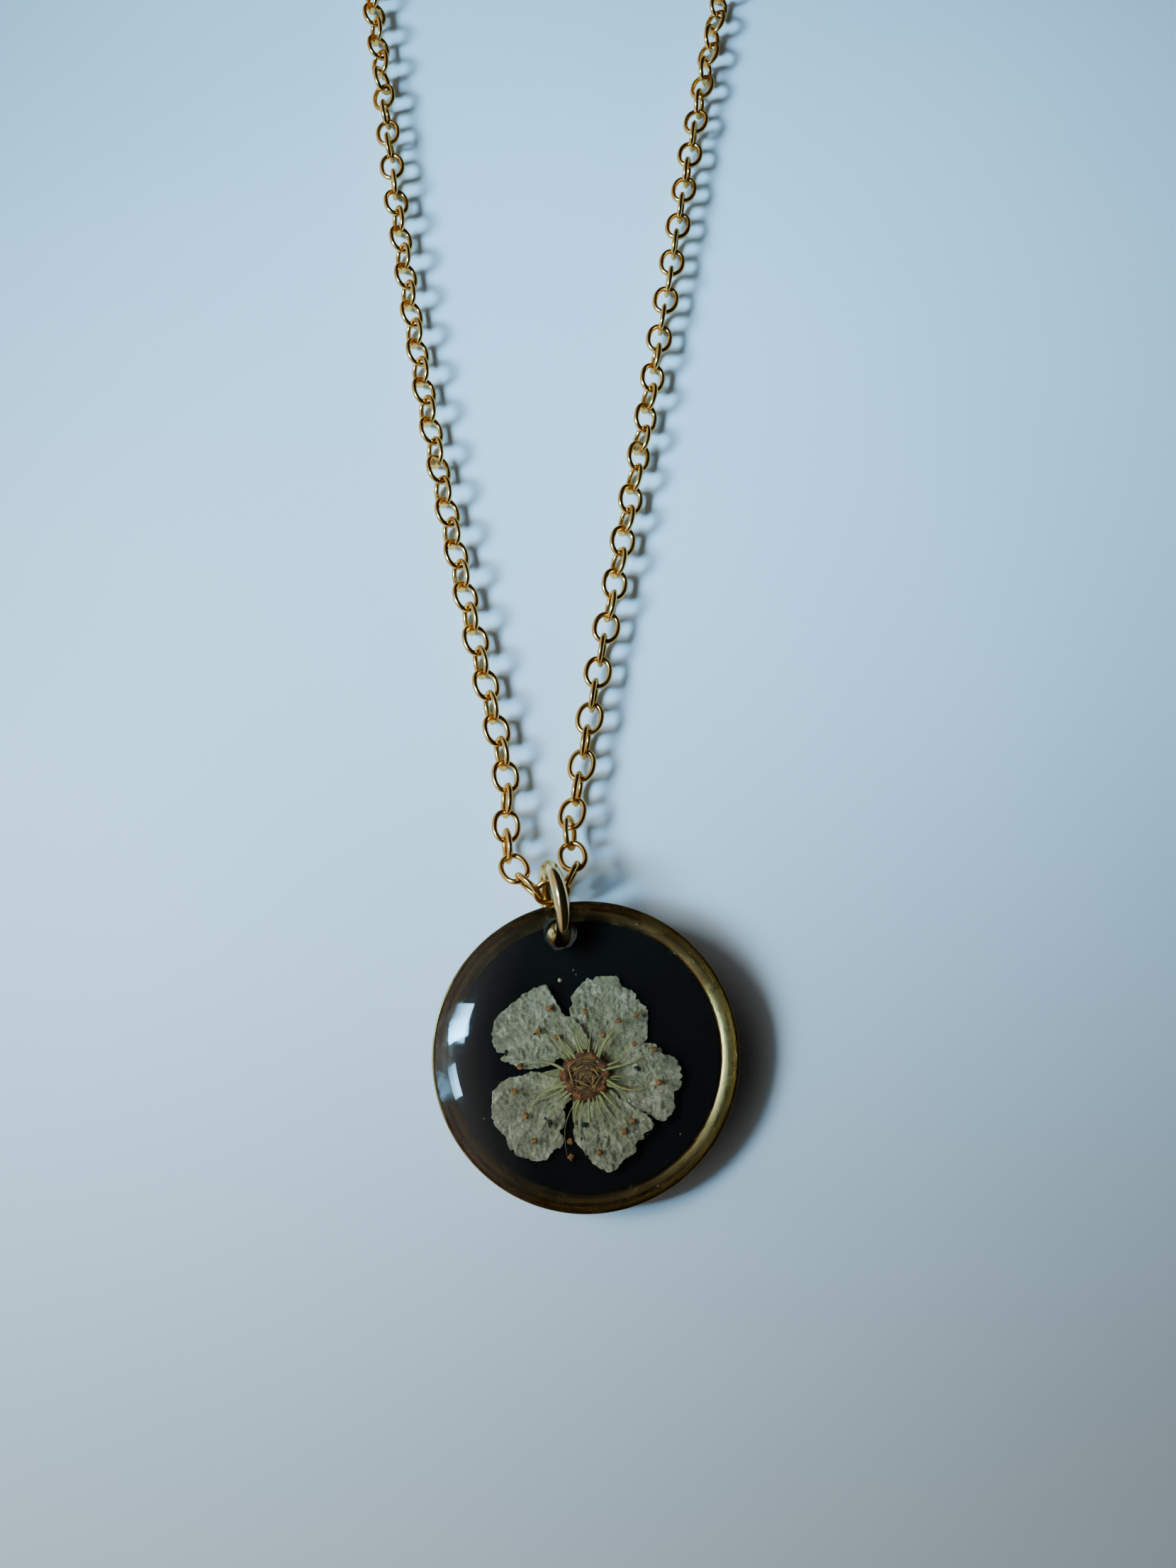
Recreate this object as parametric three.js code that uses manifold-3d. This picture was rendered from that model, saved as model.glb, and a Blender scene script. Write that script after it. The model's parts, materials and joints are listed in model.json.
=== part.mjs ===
// Pendant necklace: one pressed five-petalled spirea blossom in clear domed resin over a black
// disc, in a round metal bezel. The bezel hangs on a jump ring through a hole in its rim, and the
// ring runs on a fine oval-link chain that a lobster clasp closes.
// Millimetres, +Z up. The necklace lies on the surface z = 0, and +Y runs from the pendant to the clasp.

import * as THREE from "three";
import { mergeVertices } from "three/addons/utils/BufferGeometryUtils.js";
import Module from "manifold-3d";

const wasm = await Module();
wasm.setup();

const DEGREE = Math.PI / 180;
const UP = new THREE.Vector3(0, 0, 1);

// Pendant
const PENDANT_RADIUS = 10;
const PENDANT_SIDES = 44;
const PENDANT_TILT = 4.8 * DEGREE; // its rim lies on the jump ring's wire at the top
const BEZEL_FLOOR = 0.6;
const BEZEL_HEIGHT = 2.2;
const BEZEL_LIP = 0.2;
const COVE_RADIUS = 8.6; // foot of the bezel's curved inner wall
const EDGE_BREAK = 0.15;
const DISC_THICKNESS = 0.35;
const DOME_RISE = 1.3; // crown of the resin above the lip
const DOME_POWER = 3.5; // flat over the middle, steep at the rim
const SEAT_GAP = 0.05; // between the pieces inside the pendant
const HOLE_RADIUS = 1;
const HOLE_DISTANCE = 7.95; // from the pendant's middle
const HOLE_TURN = 12.1 * DEGREE; // to the left of +Y

// Blossom, measured from the pendant's middle
const BLOSSOM_X = 0;
const BLOSSOM_Y = -1.4;
const PETAL_THICKNESS = 0.6;
const PETAL_BASE = 1.3; // where a petal starts, from the blossom's middle
const PETAL_WAVE = 0.09;
const PETAL_POINTS = 24;
// Direction in degrees, reach from the blossom's middle, width, and where the edge's waves start
const PETALS = [
  { turn: 141, reach: 6.9, width: 5.1, phase: 0.4 },
  { turn: 70, reach: 6.8, width: 5.1, phase: 1.9 },
  { turn: -2, reach: 6.4, width: 4.8, phase: 3.1 },
  { turn: -65, reach: 6.2, width: 4.7, phase: 4.4 },
  { turn: -146, reach: 6.8, width: 5.2, phase: 5.2 },
];
const SEPAL_REACH = 2.9;
const SEPAL_WIDTH = 0.5;
const CENTRE_RADIUS = 1.75;
const CENTRE_HEIGHT = 0.75;
const PISTILS = 5;
const PISTIL = { radius: 0.26, height: 0.5, out: 0.55 };
const FILAMENT = { root: 0.1, tip: 0.07 }; // radii
const ANTHER_RADIUS = 0.24;
const COLLAR_WIDTH = 0.3; // ring that the filaments grow from, round the centre
const COLLAR_HEIGHT = 0.22;
const STAMEN_LIFT = 0.25; // above the petals
const POCKET_CLEARANCE = 0.35; // between the blossom and the resin round it
// Each stamen's direction in degrees and its anther's distance from the blossom's middle
const STAMENS = [
  [119, 4.9], [91, 4.1], [59, 4.1], [50, 5.1], [138, 4.2], [128, 3.1], [33, 3.7], [21, 4.7], [-5, 4.7],
  [-18, 2.6], [192, 4.7], [213, 4.6], [231, 5.2], [280, 4.8], [305, 4.2], [316, 4.1], [172, 4.3], [67, 2.8],
];

// Jump ring that carries the pendant
const RING_RADIUS = 2.5;
const RING_WIRE = 0.5;
const RING_LEAN = 10 * DEGREE;
const RING_OUT = 10.15; // from the pendant's middle, in the pendant's own plane
const RING_RISE = 1.27; // above the pendant's back

// Chain
const LINK_LENGTH = 2.6;
const LINK_WIDTH = 2.1;
const LINK_WIRE = 0.2;
const LINK_PITCH = 1.8;
const LINK_FLAT = 0.45; // half of the straight end that the next link hangs in
const LINK_SECTION = 0.29; // a three-sided wire with about the round wire's area
const BIGHT_LINKS = 3; // on each side of the one inside the jump ring
const STRETCH_LINKS = 18;
const STRETCH_SLACK = 0.15;
// The strands' routes over the surface, from the jump ring to the clasp
const LEFT_ROUTE = [
  [-5.63, 19.5], [-6.84, 24.9], [-9.47, 36.1], [-12.03, 48.2], [-14.34, 61.3], [-16.37, 75.3],
  [-18.5, 90.4], [-21.8, 107], [-26.6, 125], [-31, 143], [-32, 160], [-27.2, 173], [-19, 180.5],
];
const RIGHT_ROUTE = [
  [-0.4, 19.5], [0.44, 24.8], [2.43, 36.2], [4.54, 48.3], [6.63, 61.2], [8.85, 75.2],
  [11.6, 90.4], [15.4, 107], [20.4, 125], [24.6, 143], [25.4, 160], [20.8, 172], [13, 179.2],
];
// How far the links are rolled from the rope-like 45 degree lay, by distance from the ring
const LEFT_TWIST = [[0, 45], [5, 64], [18, 70], [30, 80], [54, 80], [66, 35], [80, -20], [120, 30]];
const RIGHT_TWIST = [[0, 45], [4, 24], [10, 36], [18, 45], [25, 72], [38, 80], [46, 50], [62, 40], [80, 0], [120, -35]];
const FLATTENING_LINKS = 8;

// Lobster clasp and its two rings
const CLASP_TURN = -5 * DEGREE;
const CLASP_X = -8.3;
const CLASP_Y = 184;
const CLASP_LIFT = 0.9; // the claw lies on the rings' wires
const CLAW_THICKNESS = 1.5;
const CLAW_WALL = 0.95;
const CLAW_MOUTH = 1.5; // half of the claw's inner width
const CLAW_START = 3.9;
const CLAW_CROWN = 8;
const GATE_START = 4.6;
const GATE_END = 7.5;
const EYE_RADIUS = 1.5;
const EYE_HOLE = 0.78;
const NECK = { length: 2.6, width: 1.7, x: 1.6 };
const CHEEK_RADIUS = 1.25; // round the trigger's pin
const CHEEK_INSET = 0.35;
const SLOT = { length: 3.4, width: 2.9 }; // that the trigger turns in
const PIVOT_X = 3.5;
const PIVOT_Y = 1.75;
const PIN_RADIUS = 0.3;
const TRIGGER_THICKNESS = 0.66;
const TRIGGER_GAP = 0.12;
const TAIL_RING = { radius: 1.6, wire: 0.3, x: -1.3 };
const HOOK_RING = { radius: 2.1, wire: 0.35, x: 9.95 };

const gold = { color: 0xb98a4a, roughness: 0.32, metalness: 1 };
const MATERIALS = {
  bezel: gold,
  chain: { color: 0xc2965a, roughness: 0.35, metalness: 1 },
  disc: { color: 0x0b0a0a, roughness: 0.6, metalness: 0 },
  resin: { color: 0xe9edf0, roughness: 0.05, metalness: 0, transparent: true, opacity: 0.25 },
  petal: { color: 0xdfe3cf, roughness: 0.7, metalness: 0 },
  sepal: { color: 0x9aa36b, roughness: 0.75, metalness: 0 },
  centre: { color: 0x9a5c2c, roughness: 0.85, metalness: 0 },
  stamen: { color: 0xb59a4e, roughness: 0.8, metalness: 0 },
};

function named(name, geometry, material) {
  const mesh = new THREE.Mesh(geometry, new THREE.MeshStandardMaterial(MATERIALS[material]));
  mesh.name = name;
  return mesh;
}

function toSolid(geometry) {
  const bare = geometry.clone();
  bare.deleteAttribute("normal");
  bare.deleteAttribute("uv");
  const merged = mergeVertices(bare, 1e-5);
  return new wasm.Manifold(
    new wasm.Mesh({
      numProp: 3,
      vertProperties: new Float32Array(merged.attributes.position.array),
      triVerts: new Uint32Array(merged.index.array),
    }),
  );
}

function toGeometry(solid) {
  const mesh = solid.getMesh();
  const geometry = new THREE.BufferGeometry();
  geometry.setAttribute("position", new THREE.BufferAttribute(new Float32Array(mesh.vertProperties), 3));
  geometry.setIndex(new THREE.BufferAttribute(new Uint32Array(mesh.triVerts), 1));
  geometry.computeVertexNormals();
  return geometry;
}

function fused(geometries) {
  const joined = wasm.Manifold.union(geometries.map(toSolid));
  return toGeometry(joined.asOriginal().simplify(0.002));
}

function turned(profile, sides) {
  const points = profile.map(([radius, height]) => new THREE.Vector2(radius, height));
  return new THREE.LatheGeometry(points, sides).rotateX(Math.PI / 2);
}

function plate(outline, bottom, thickness, holes = []) {
  const shape = new THREE.Shape(outline);
  shape.holes = holes.map((hole) => new THREE.Path(hole));
  const geometry = new THREE.ExtrudeGeometry(shape, { depth: thickness, bevelEnabled: false });
  return geometry.translate(0, 0, bottom);
}

function circle(x, y, radius, sides) {
  return Array.from({ length: sides }, (_, i) => {
    const turn = (i / sides) * 2 * Math.PI;
    return new THREE.Vector2(x + radius * Math.cos(turn), y + radius * Math.sin(turn));
  });
}

function rod(x, y, radius, bottom, top, sides) {
  const geometry = new THREE.CylinderGeometry(radius, radius, top - bottom, sides);
  return geometry.rotateX(Math.PI / 2).translate(x, y, (top + bottom) / 2);
}

const holeX = -HOLE_DISTANCE * Math.sin(HOLE_TURN);
const holeY = HOLE_DISTANCE * Math.cos(HOLE_TURN);
const holeDirection = new THREE.Vector3(-Math.sin(HOLE_TURN), Math.cos(HOLE_TURN), 0);
const acrossHole = new THREE.Vector3(Math.cos(HOLE_TURN), Math.sin(HOLE_TURN), 0);
const coveTop = PENDANT_RADIUS - BEZEL_LIP;
const discTop = BEZEL_FLOOR + SEAT_GAP + DISC_THICKNESS;
const resinBottom = discTop + SEAT_GAP;

// The bezel's inner wall curves from the floor up to the lip, here between two levels of the resin
function cove(from, clearance) {
  const middle = (resinBottom + BEZEL_HEIGHT) / 2;
  const levels = [BEZEL_FLOOR, (BEZEL_FLOOR + resinBottom) / 2, resinBottom, middle, BEZEL_HEIGHT];
  return levels
    .filter((level) => level >= from)
    .map((level) => {
      const depth = (BEZEL_HEIGHT - level) / (BEZEL_HEIGHT - BEZEL_FLOOR);
      return [COVE_RADIUS + (coveTop - COVE_RADIUS) * Math.sqrt(1 - depth ** 2) - clearance, level];
    });
}

function bored(geometry) {
  const bore = rod(holeX, holeY, HOLE_RADIUS, -1, BEZEL_HEIGHT + 2 * DOME_RISE, 20);
  return toGeometry(toSolid(geometry).subtract(toSolid(bore)));
}

function bezel() {
  const profile = [
    [0, 0],
    [PENDANT_RADIUS - EDGE_BREAK, 0],
    [PENDANT_RADIUS, EDGE_BREAK],
    [PENDANT_RADIUS, BEZEL_HEIGHT - EDGE_BREAK / 2],
    [PENDANT_RADIUS - EDGE_BREAK / 2, BEZEL_HEIGHT],
    ...cove(BEZEL_FLOOR, 0).reverse(),
    [0, BEZEL_FLOOR],
  ];
  return named("bezel", bored(turned(profile, PENDANT_SIDES)), "bezel");
}

function backingDisc() {
  const bottom = BEZEL_FLOOR + SEAT_GAP;
  const radius = COVE_RADIUS - 2 * SEAT_GAP;
  return named("backing_disc", bored(rod(0, 0, radius, bottom, discTop, PENDANT_SIDES)), "disc");
}

// Reach of the blossom in any direction: the petals' reaches, joined smoothly
function blossomReach(turn) {
  let weight = 0;
  let reach = 0;
  for (const petal of PETALS) {
    const near = Math.exp(3 * Math.cos(turn - petal.turn * DEGREE));
    weight += near;
    reach += near * petal.reach;
  }
  return reach / weight;
}

function resin() {
  const dome = [1, 0.94, 0.86, 0.74, 0.58, 0.36, 0].map((share) => [
    share * (coveTop - SEAT_GAP),
    BEZEL_HEIGHT + DOME_RISE * (1 - share ** DOME_POWER),
  ]);
  const wall = cove(resinBottom, SEAT_GAP).slice(0, -1);
  const profile = [[0, resinBottom], ...wall, ...dome];
  const pocketSides = 36;
  const outline = Array.from({ length: pocketSides }, (_, i) => {
    const turn = (i / pocketSides) * 2 * Math.PI;
    const reach = blossomReach(turn) + POCKET_CLEARANCE;
    return new THREE.Vector2(BLOSSOM_X + reach * Math.cos(turn), BLOSSOM_Y + reach * Math.sin(turn));
  });
  const pocketTop = centreTop() + 2 * SEAT_GAP;
  const pocket = plate(outline, 0, pocketTop);
  const body = toSolid(turned(profile, PENDANT_SIDES)).subtract(toSolid(pocket));
  return named("resin_dome", bored(toGeometry(body)), "resin");
}

// Levels of the blossom's layers above the disc
const petalBottom = discTop + SEAT_GAP + PETAL_WAVE;
const petalTop = petalBottom + PETAL_THICKNESS + PETAL_WAVE;
const stamenLevel = petalTop + STAMEN_LIFT;

function centreTop() {
  return discTop + PETAL_THICKNESS + CENTRE_HEIGHT;
}

// Edge of a petal lying along +X from its base: narrow at the base, widest past the middle, scalloped
function petalEdge({ reach, width, phase }) {
  const length = reach - PETAL_BASE;
  return Array.from({ length: PETAL_POINTS }, (_, i) => {
    const turn = -(i / PETAL_POINTS) * 2 * Math.PI;
    const along = PETAL_BASE + (length * (1 - Math.cos(turn))) / 2;
    const across = (width / 2) * Math.sin(turn) * (0.82 - 0.34 * Math.cos(turn));
    const fade = (1 - Math.cos(turn)) / 2;
    const scallop = fade * (0.14 * Math.sin(7 * turn + phase) + 0.09 * Math.sin(11 * turn + 2 * phase));
    return [along + scallop * -Math.cos(turn), across + scallop * Math.sin(turn)];
  });
}

function petalSurface(x, y, phase) {
  return PETAL_WAVE * Math.sin(1.9 * x + phase) * Math.cos(1.6 * y - phase);
}

function petal(spec, index) {
  const edge = petalEdge(spec);
  const middle = PETAL_BASE + 0.55 * (spec.reach - PETAL_BASE);
  const rings = [1, 0.62, 0.28];
  const corners = [];
  for (const bottom of [petalBottom + PETAL_THICKNESS, petalBottom]) {
    for (const ring of rings) {
      for (const [x, y] of edge) {
        const px = middle + (x - middle) * ring;
        const py = y * ring;
        corners.push(px, py, bottom + petalSurface(px, py, spec.phase));
      }
    }
    corners.push(middle, 0, bottom + petalSurface(middle, 0, spec.phase));
  }
  const layer = rings.length * PETAL_POINTS + 1;
  const faces = [];
  const both = (a, b, c) => faces.push(a, b, c, c + layer, b + layer, a + layer);
  for (let i = 0; i < PETAL_POINTS; i++) {
    const next = (i + 1) % PETAL_POINTS;
    for (let ring = 0; ring + 1 < rings.length; ring++) {
      const outer = ring * PETAL_POINTS;
      const inner = outer + PETAL_POINTS;
      both(outer + i, outer + next, inner + i);
      both(outer + next, inner + next, inner + i);
    }
    const last = (rings.length - 1) * PETAL_POINTS;
    both(last + i, last + next, layer - 1);
    faces.push(i, i + layer, next + layer, i, next + layer, next);
  }
  const geometry = new THREE.BufferGeometry();
  geometry.setAttribute("position", new THREE.BufferAttribute(new Float32Array(corners), 3));
  geometry.setIndex(faces);
  geometry.rotateZ(spec.turn * DEGREE).translate(BLOSSOM_X, BLOSSOM_Y, 0);
  geometry.computeVertexNormals();
  return named(`petal_${index + 1}`, geometry, "petal");
}

// Five slim sepals that show between the petals, on the disc that carries them
function calyx() {
  const turns = PETALS.map(({ turn }) => ((turn + 360) % 360) * DEGREE).sort((a, b) => a - b);
  const outline = [];
  const root = PETAL_BASE - 0.15;
  const spread = SEPAL_WIDTH / 2 / root;
  const sepal = [
    [root - 0.1, -3 * spread],
    [root, -spread],
    [SEPAL_REACH, 0],
    [root, spread],
  ];
  turns.forEach((turn, i) => {
    const following = i + 1 < turns.length ? turns[i + 1] : turns[0] + 2 * Math.PI;
    const middle = (turn + following) / 2;
    for (const [radius, offset] of sepal) {
      const x = BLOSSOM_X + radius * Math.cos(middle + offset);
      const y = BLOSSOM_Y + radius * Math.sin(middle + offset);
      outline.push(new THREE.Vector2(x, y));
    }
  });
  return named("calyx", plate(outline, discTop + SEAT_GAP, PETAL_THICKNESS), "sepal");
}

function flowerCentre() {
  const bottom = discTop + PETAL_THICKNESS + 2 * SEAT_GAP;
  const under = petalTop + 0.06;
  const top = centreTop();
  const button = turned(
    [
      [0, bottom],
      [0.9, bottom],
      [0.95, under],
      [CENTRE_RADIUS - 0.1, under],
      [CENTRE_RADIUS, under + 0.12],
      [1.3, top - 0.12],
      [0.7, top - 0.2],
      [0, top - 0.24],
    ],
    20,
  );
  const pistils = Array.from({ length: PISTILS }, (_, i) => {
    const turn = (i / PISTILS) * 2 * Math.PI;
    const cone = new THREE.ConeGeometry(PISTIL.radius, PISTIL.height, 5).rotateX(Math.PI / 2);
    const level = top - PISTIL.height / 2;
    return cone.translate(PISTIL.out * Math.cos(turn), PISTIL.out * Math.sin(turn), level);
  });
  const geometry = fused([button, ...pistils]).translate(BLOSSOM_X, BLOSSOM_Y, 0);
  return named("flower_centre", geometry, "centre");
}

// A collar round the centre, with a filament and an anther for each stamen
function stamens() {
  const inner = CENTRE_RADIUS + 0.08;
  const outer = inner + COLLAR_WIDTH;
  const bottom = stamenLevel - FILAMENT.root;
  const top = bottom + COLLAR_HEIGHT;
  const profile = [
    [inner, bottom],
    [outer, bottom],
    [outer, top],
    [inner, top],
    [inner, bottom],
  ];
  const pieces = [turned(profile, 20)];
  for (const [turn, reach] of STAMENS) {
    const start = inner + COLLAR_WIDTH / 2;
    const length = reach - start;
    const filament = new THREE.CylinderGeometry(FILAMENT.tip, FILAMENT.root, length, 3);
    filament.rotateZ(-Math.PI / 2).translate(start + length / 2, 0, stamenLevel);
    const anther = new THREE.OctahedronGeometry(ANTHER_RADIUS, 0).scale(1.25, 0.9, 0.7);
    anther.translate(reach, 0, stamenLevel);
    pieces.push(filament.rotateZ(turn * DEGREE), anther.rotateZ(turn * DEGREE));
  }
  return named("stamens", fused(pieces).translate(BLOSSOM_X, BLOSSOM_Y, 0), "stamen");
}

function pendant() {
  const group = new THREE.Group();
  group.add(bezel(), backingDisc(), resin(), calyx(), flowerCentre(), stamens());
  PETALS.forEach((spec, index) => group.add(petal(spec, index)));
  group.quaternion.setFromAxisAngle(acrossHole, PENDANT_TILT);
  group.updateMatrixWorld(true);
  group.position.z = -new THREE.Box3().setFromObject(group, true).min.z;
  group.updateMatrixWorld(true);
  return group;
}

const pendantGroup = pendant();
const ringCentre = holeDirection
  .clone()
  .multiplyScalar(RING_OUT)
  .setZ(RING_RISE)
  .applyMatrix4(pendantGroup.matrixWorld);

// A ring in the plane of `along` and `upward`
function ringMesh(name, centre, along, upward, radius, wire, sides, wireSides) {
  const geometry = new THREE.TorusGeometry(radius, wire, wireSides, sides);
  const axis = new THREE.Vector3().crossVectors(along, upward);
  const basis = new THREE.Matrix4().makeBasis(along, upward, axis);
  geometry.applyMatrix4(basis).translate(centre.x, centre.y, centre.z);
  return named(name, geometry, "chain");
}

function jumpRing() {
  const upward = UP.clone().applyAxisAngle(holeDirection, RING_LEAN);
  return ringMesh("jump_ring", ringCentre, holeDirection, upward, RING_RADIUS, RING_WIRE, 28, 8);
}

// One oval link about the origin, long along X and flat in XY, as a three-sided wire round six corners
function linkCorners() {
  const end = LINK_LENGTH / 2 - LINK_WIRE;
  const side = LINK_WIDTH / 2 - LINK_WIRE;
  const path = [
    [end, -LINK_FLAT],
    [end, LINK_FLAT],
    [0, side],
    [-end, LINK_FLAT],
    [-end, -LINK_FLAT],
    [0, -side],
  ].map(([x, y]) => new THREE.Vector2(x, y));
  const count = path.length;
  const corners = [];
  path.forEach((point, i) => {
    const before = point.clone().sub(path[(i + count - 1) % count]).normalize();
    const after = path[(i + 1) % count].clone().sub(point).normalize();
    const along = before.clone().add(after).normalize();
    const outward = new THREE.Vector2(along.y, -along.x);
    const mitre = 1 / outward.dot(new THREE.Vector2(after.y, -after.x));
    for (let j = 0; j < 3; j++) {
      const turn = Math.PI + (j / 3) * 2 * Math.PI;
      const corner = point.clone().addScaledVector(outward, Math.cos(turn) * LINK_SECTION * mitre);
      corners.push(new THREE.Vector3(corner.x, corner.y, Math.sin(turn) * LINK_SECTION));
    }
  });
  return corners;
}

const linkShape = linkCorners();

function link({ centre, direction, roll }) {
  const flatSide = new THREE.Vector3().crossVectors(UP, direction).normalize();
  const normal = new THREE.Vector3().crossVectors(direction, flatSide);
  const place = new THREE.Matrix4().makeBasis(direction, flatSide, normal).setPosition(centre);
  place.multiply(new THREE.Matrix4().makeRotationX(roll));
  const corners = linkShape.flatMap((corner) => corner.clone().applyMatrix4(place).toArray());
  const faces = [];
  const rings = linkShape.length / 3;
  for (let i = 0; i < rings; i++) {
    const here = 3 * i;
    const there = 3 * ((i + 1) % rings);
    for (let j = 0; j < 3; j++) {
      const next = (j + 1) % 3;
      faces.push(here + j, there + j, here + next, here + next, there + j, there + next);
    }
  }
  const geometry = new THREE.BufferGeometry();
  geometry.setAttribute("position", new THREE.BufferAttribute(new Float32Array(corners), 3));
  geometry.setIndex(faces);
  return geometry;
}

function between(table, distance) {
  for (let i = 1; i < table.length; i++) {
    const [from, low] = table[i - 1];
    const [to, high] = table[i];
    if (distance <= to) {
      return THREE.MathUtils.lerp(low, high, THREE.MathUtils.smoothstep(distance, from, to));
    }
  }
  return table[table.length - 1][1];
}

// Height of the chain's middle where its more upright links stand on the surface
function layHeight(twist) {
  const side = LINK_WIDTH / 2 - LINK_WIRE;
  const steeper = Math.abs(THREE.MathUtils.euclideanModulo(twist + 45, 90) - 45);
  return side * Math.sin((45 + steeper) * DEGREE) + LINK_SECTION;
}

// Points where neighbouring links meet, from the jump ring along a strand to its end at the clasp
function strandPoints(nearRing, route, twist, end) {
  let distance = 0;
  const surface = route.map(([x, y], i) => {
    const from = i ? route[i - 1] : [nearRing[0].x, nearRing[0].y];
    distance += Math.hypot(x - from[0], y - from[1]);
    return new THREE.Vector3(x, y, layHeight(between(twist, distance)));
  });
  const curve = new THREE.CatmullRomCurve3([...nearRing, ...surface, ...end], false, "centripetal");
  curve.arcLengthDivisions = 2000;
  return curve.getSpacedPoints(Math.round(curve.getLength() / LINK_PITCH));
}

// Links from the ring to the clasp. Their lays alternate, and the last one lies flat in the clasp's ring.
function strand(points, twist) {
  const lay = (i) => (i % 2 ? -45 : 45);
  const last = points.length - 2;
  const table = [...twist, [(last - FLATTENING_LINKS) * LINK_PITCH, 0], [last * LINK_PITCH, -lay(last)]];
  return points.slice(1).map((point, i) => ({
    centre: points[i].clone().add(point).multiplyScalar(0.5),
    direction: point.clone().sub(points[i]).normalize(),
    roll: (between(table, i * LINK_PITCH) + lay(i)) * DEGREE,
  }));
}

const clasp = new THREE.Matrix4()
  .makeTranslation(CLASP_X, CLASP_Y, 0)
  .multiply(new THREE.Matrix4().makeRotationZ(CLASP_TURN));

function claspPoint(x, y, z) {
  return new THREE.Vector3(x, y, z).applyMatrix4(clasp);
}

// A point near the ring: distances across the ring's plane, outwards from the pendant, and up
function nearRing(across, outward, rise) {
  const point = ringCentre.clone().addScaledVector(acrossHole, across);
  return point.addScaledVector(holeDirection, outward).addScaledVector(UP, rise);
}

// The link that passes through the jump ring, between the two strands
const bightEnds = [nearRing(-LINK_PITCH / 2, 0.95, -0.35), nearRing(LINK_PITCH / 2, 0.95, -0.25)];

function leftStrand() {
  const wire = TAIL_RING.x - TAIL_RING.radius;
  const start = [bightEnds[0], nearRing(-1.95, 2.45, -0.6), nearRing(-2.4, 4.4, -1.3)];
  const end = [claspPoint(wire - 5, -0.9, 1), claspPoint(wire + 0.62, 0, 1.55)];
  return strand(strandPoints(start, LEFT_ROUTE, LEFT_TWIST, end), LEFT_TWIST);
}

function rightStrand() {
  const wire = HOOK_RING.x + HOOK_RING.radius;
  const start = [bightEnds[1], nearRing(2.0, 2.4, -0.5), nearRing(1.9, 4.4, -1.2)];
  const end = [claspPoint(wire + 5, -0.9, 1), claspPoint(wire - 0.72, 0, 1.7)];
  return strand(strandPoints(start, RIGHT_ROUTE, RIGHT_TWIST, end), RIGHT_TWIST);
}

// Moves an end link of a stretch out along its own line, so that it hangs loose in its neighbour
function loosen(piece, sign) {
  piece.centre.addScaledVector(piece.direction, sign * STRETCH_SLACK);
}

// The few links that turn round through the jump ring
function bight(left, right) {
  const [from, to] = bightEnds;
  const centre = from.clone().add(to).multiplyScalar(0.5);
  const middle = { centre, direction: to.clone().sub(from).normalize(), roll: 45 * DEGREE };
  loosen(left[left.length - 1], 1);
  loosen(right[right.length - 1], 1);
  return named("chain_bight", fused([...left, middle, ...right].map(link)), "chain");
}

// Stretches of fused links, numbered from the jump ring
function stretches(side, links) {
  const count = Math.ceil(links.length / STRETCH_LINKS);
  return Array.from({ length: count }, (_, k) => {
    const from = Math.round((k * links.length) / count);
    const to = Math.round(((k + 1) * links.length) / count);
    const pieces = links.slice(from, to);
    loosen(pieces[0], -1);
    loosen(pieces[pieces.length - 1], 1);
    return named(`chain_${side}_${k + 1}`, fused(pieces.map(link)), "chain");
  });
}

// Outline of the claw seen from above: a long loop with round ends, open at the gate
function claspBody() {
  const outer = CLAW_MOUTH + CLAW_WALL;
  const bottom = CLASP_LIFT;
  const top = bottom + CLAW_THICKNESS;
  const loop = (radius) => [
    ...circle(CLAW_START + 0.4, 0, radius, 24).filter(({ x }) => x < CLAW_START + 0.41),
    ...circle(CLAW_CROWN, 0, radius, 24).filter(({ x }) => x > CLAW_CROWN - 0.01),
  ];
  const around = (points) => {
    const middle = new THREE.Vector2((CLAW_START + CLAW_CROWN) / 2, 0);
    return points.sort((a, b) => a.clone().sub(middle).angle() - b.clone().sub(middle).angle());
  };
  const claw = plate(around(loop(outer)), bottom, CLAW_THICKNESS, [around(loop(CLAW_MOUTH))]);
  const cheek = rod(PIVOT_X, PIVOT_Y - CHEEK_INSET, CHEEK_RADIUS, bottom, top, 16);
  const eye = rod(0, 0, EYE_RADIUS, bottom, top, 20);
  const neck = new THREE.BoxGeometry(NECK.length, NECK.width, CLAW_THICKNESS);
  neck.translate(NECK.x, 0, (bottom + top) / 2);
  const mouth = plate(around(loop(CLAW_MOUTH)), 0, 2 * top);
  const gate = new THREE.BoxGeometry(GATE_END - GATE_START, 2, 3 * CLAW_THICKNESS);
  gate.translate((GATE_START + GATE_END) / 2, CLAW_MOUTH + 0.85, top);
  const slot = new THREE.BoxGeometry(SLOT.length, SLOT.width, TRIGGER_THICKNESS + 2 * TRIGGER_GAP);
  slot.translate(PIVOT_X - 0.1, PIVOT_Y + 0.2, (bottom + top) / 2);
  const pin = rod(PIVOT_X, PIVOT_Y, PIN_RADIUS, bottom + 0.1, top - 0.1, 12);
  const body = toSolid(claw)
    .add(toSolid(cheek))
    .add(toSolid(eye))
    .add(toSolid(neck))
    .subtract(toSolid(mouth))
    .subtract(toSolid(gate))
    .subtract(toSolid(rod(0, 0, EYE_HOLE, 0, 2 * top, 16)))
    .subtract(toSolid(slot))
    .add(toSolid(pin));
  return named("clasp_body", toGeometry(body).applyMatrix4(clasp), "chain");
}

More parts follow.
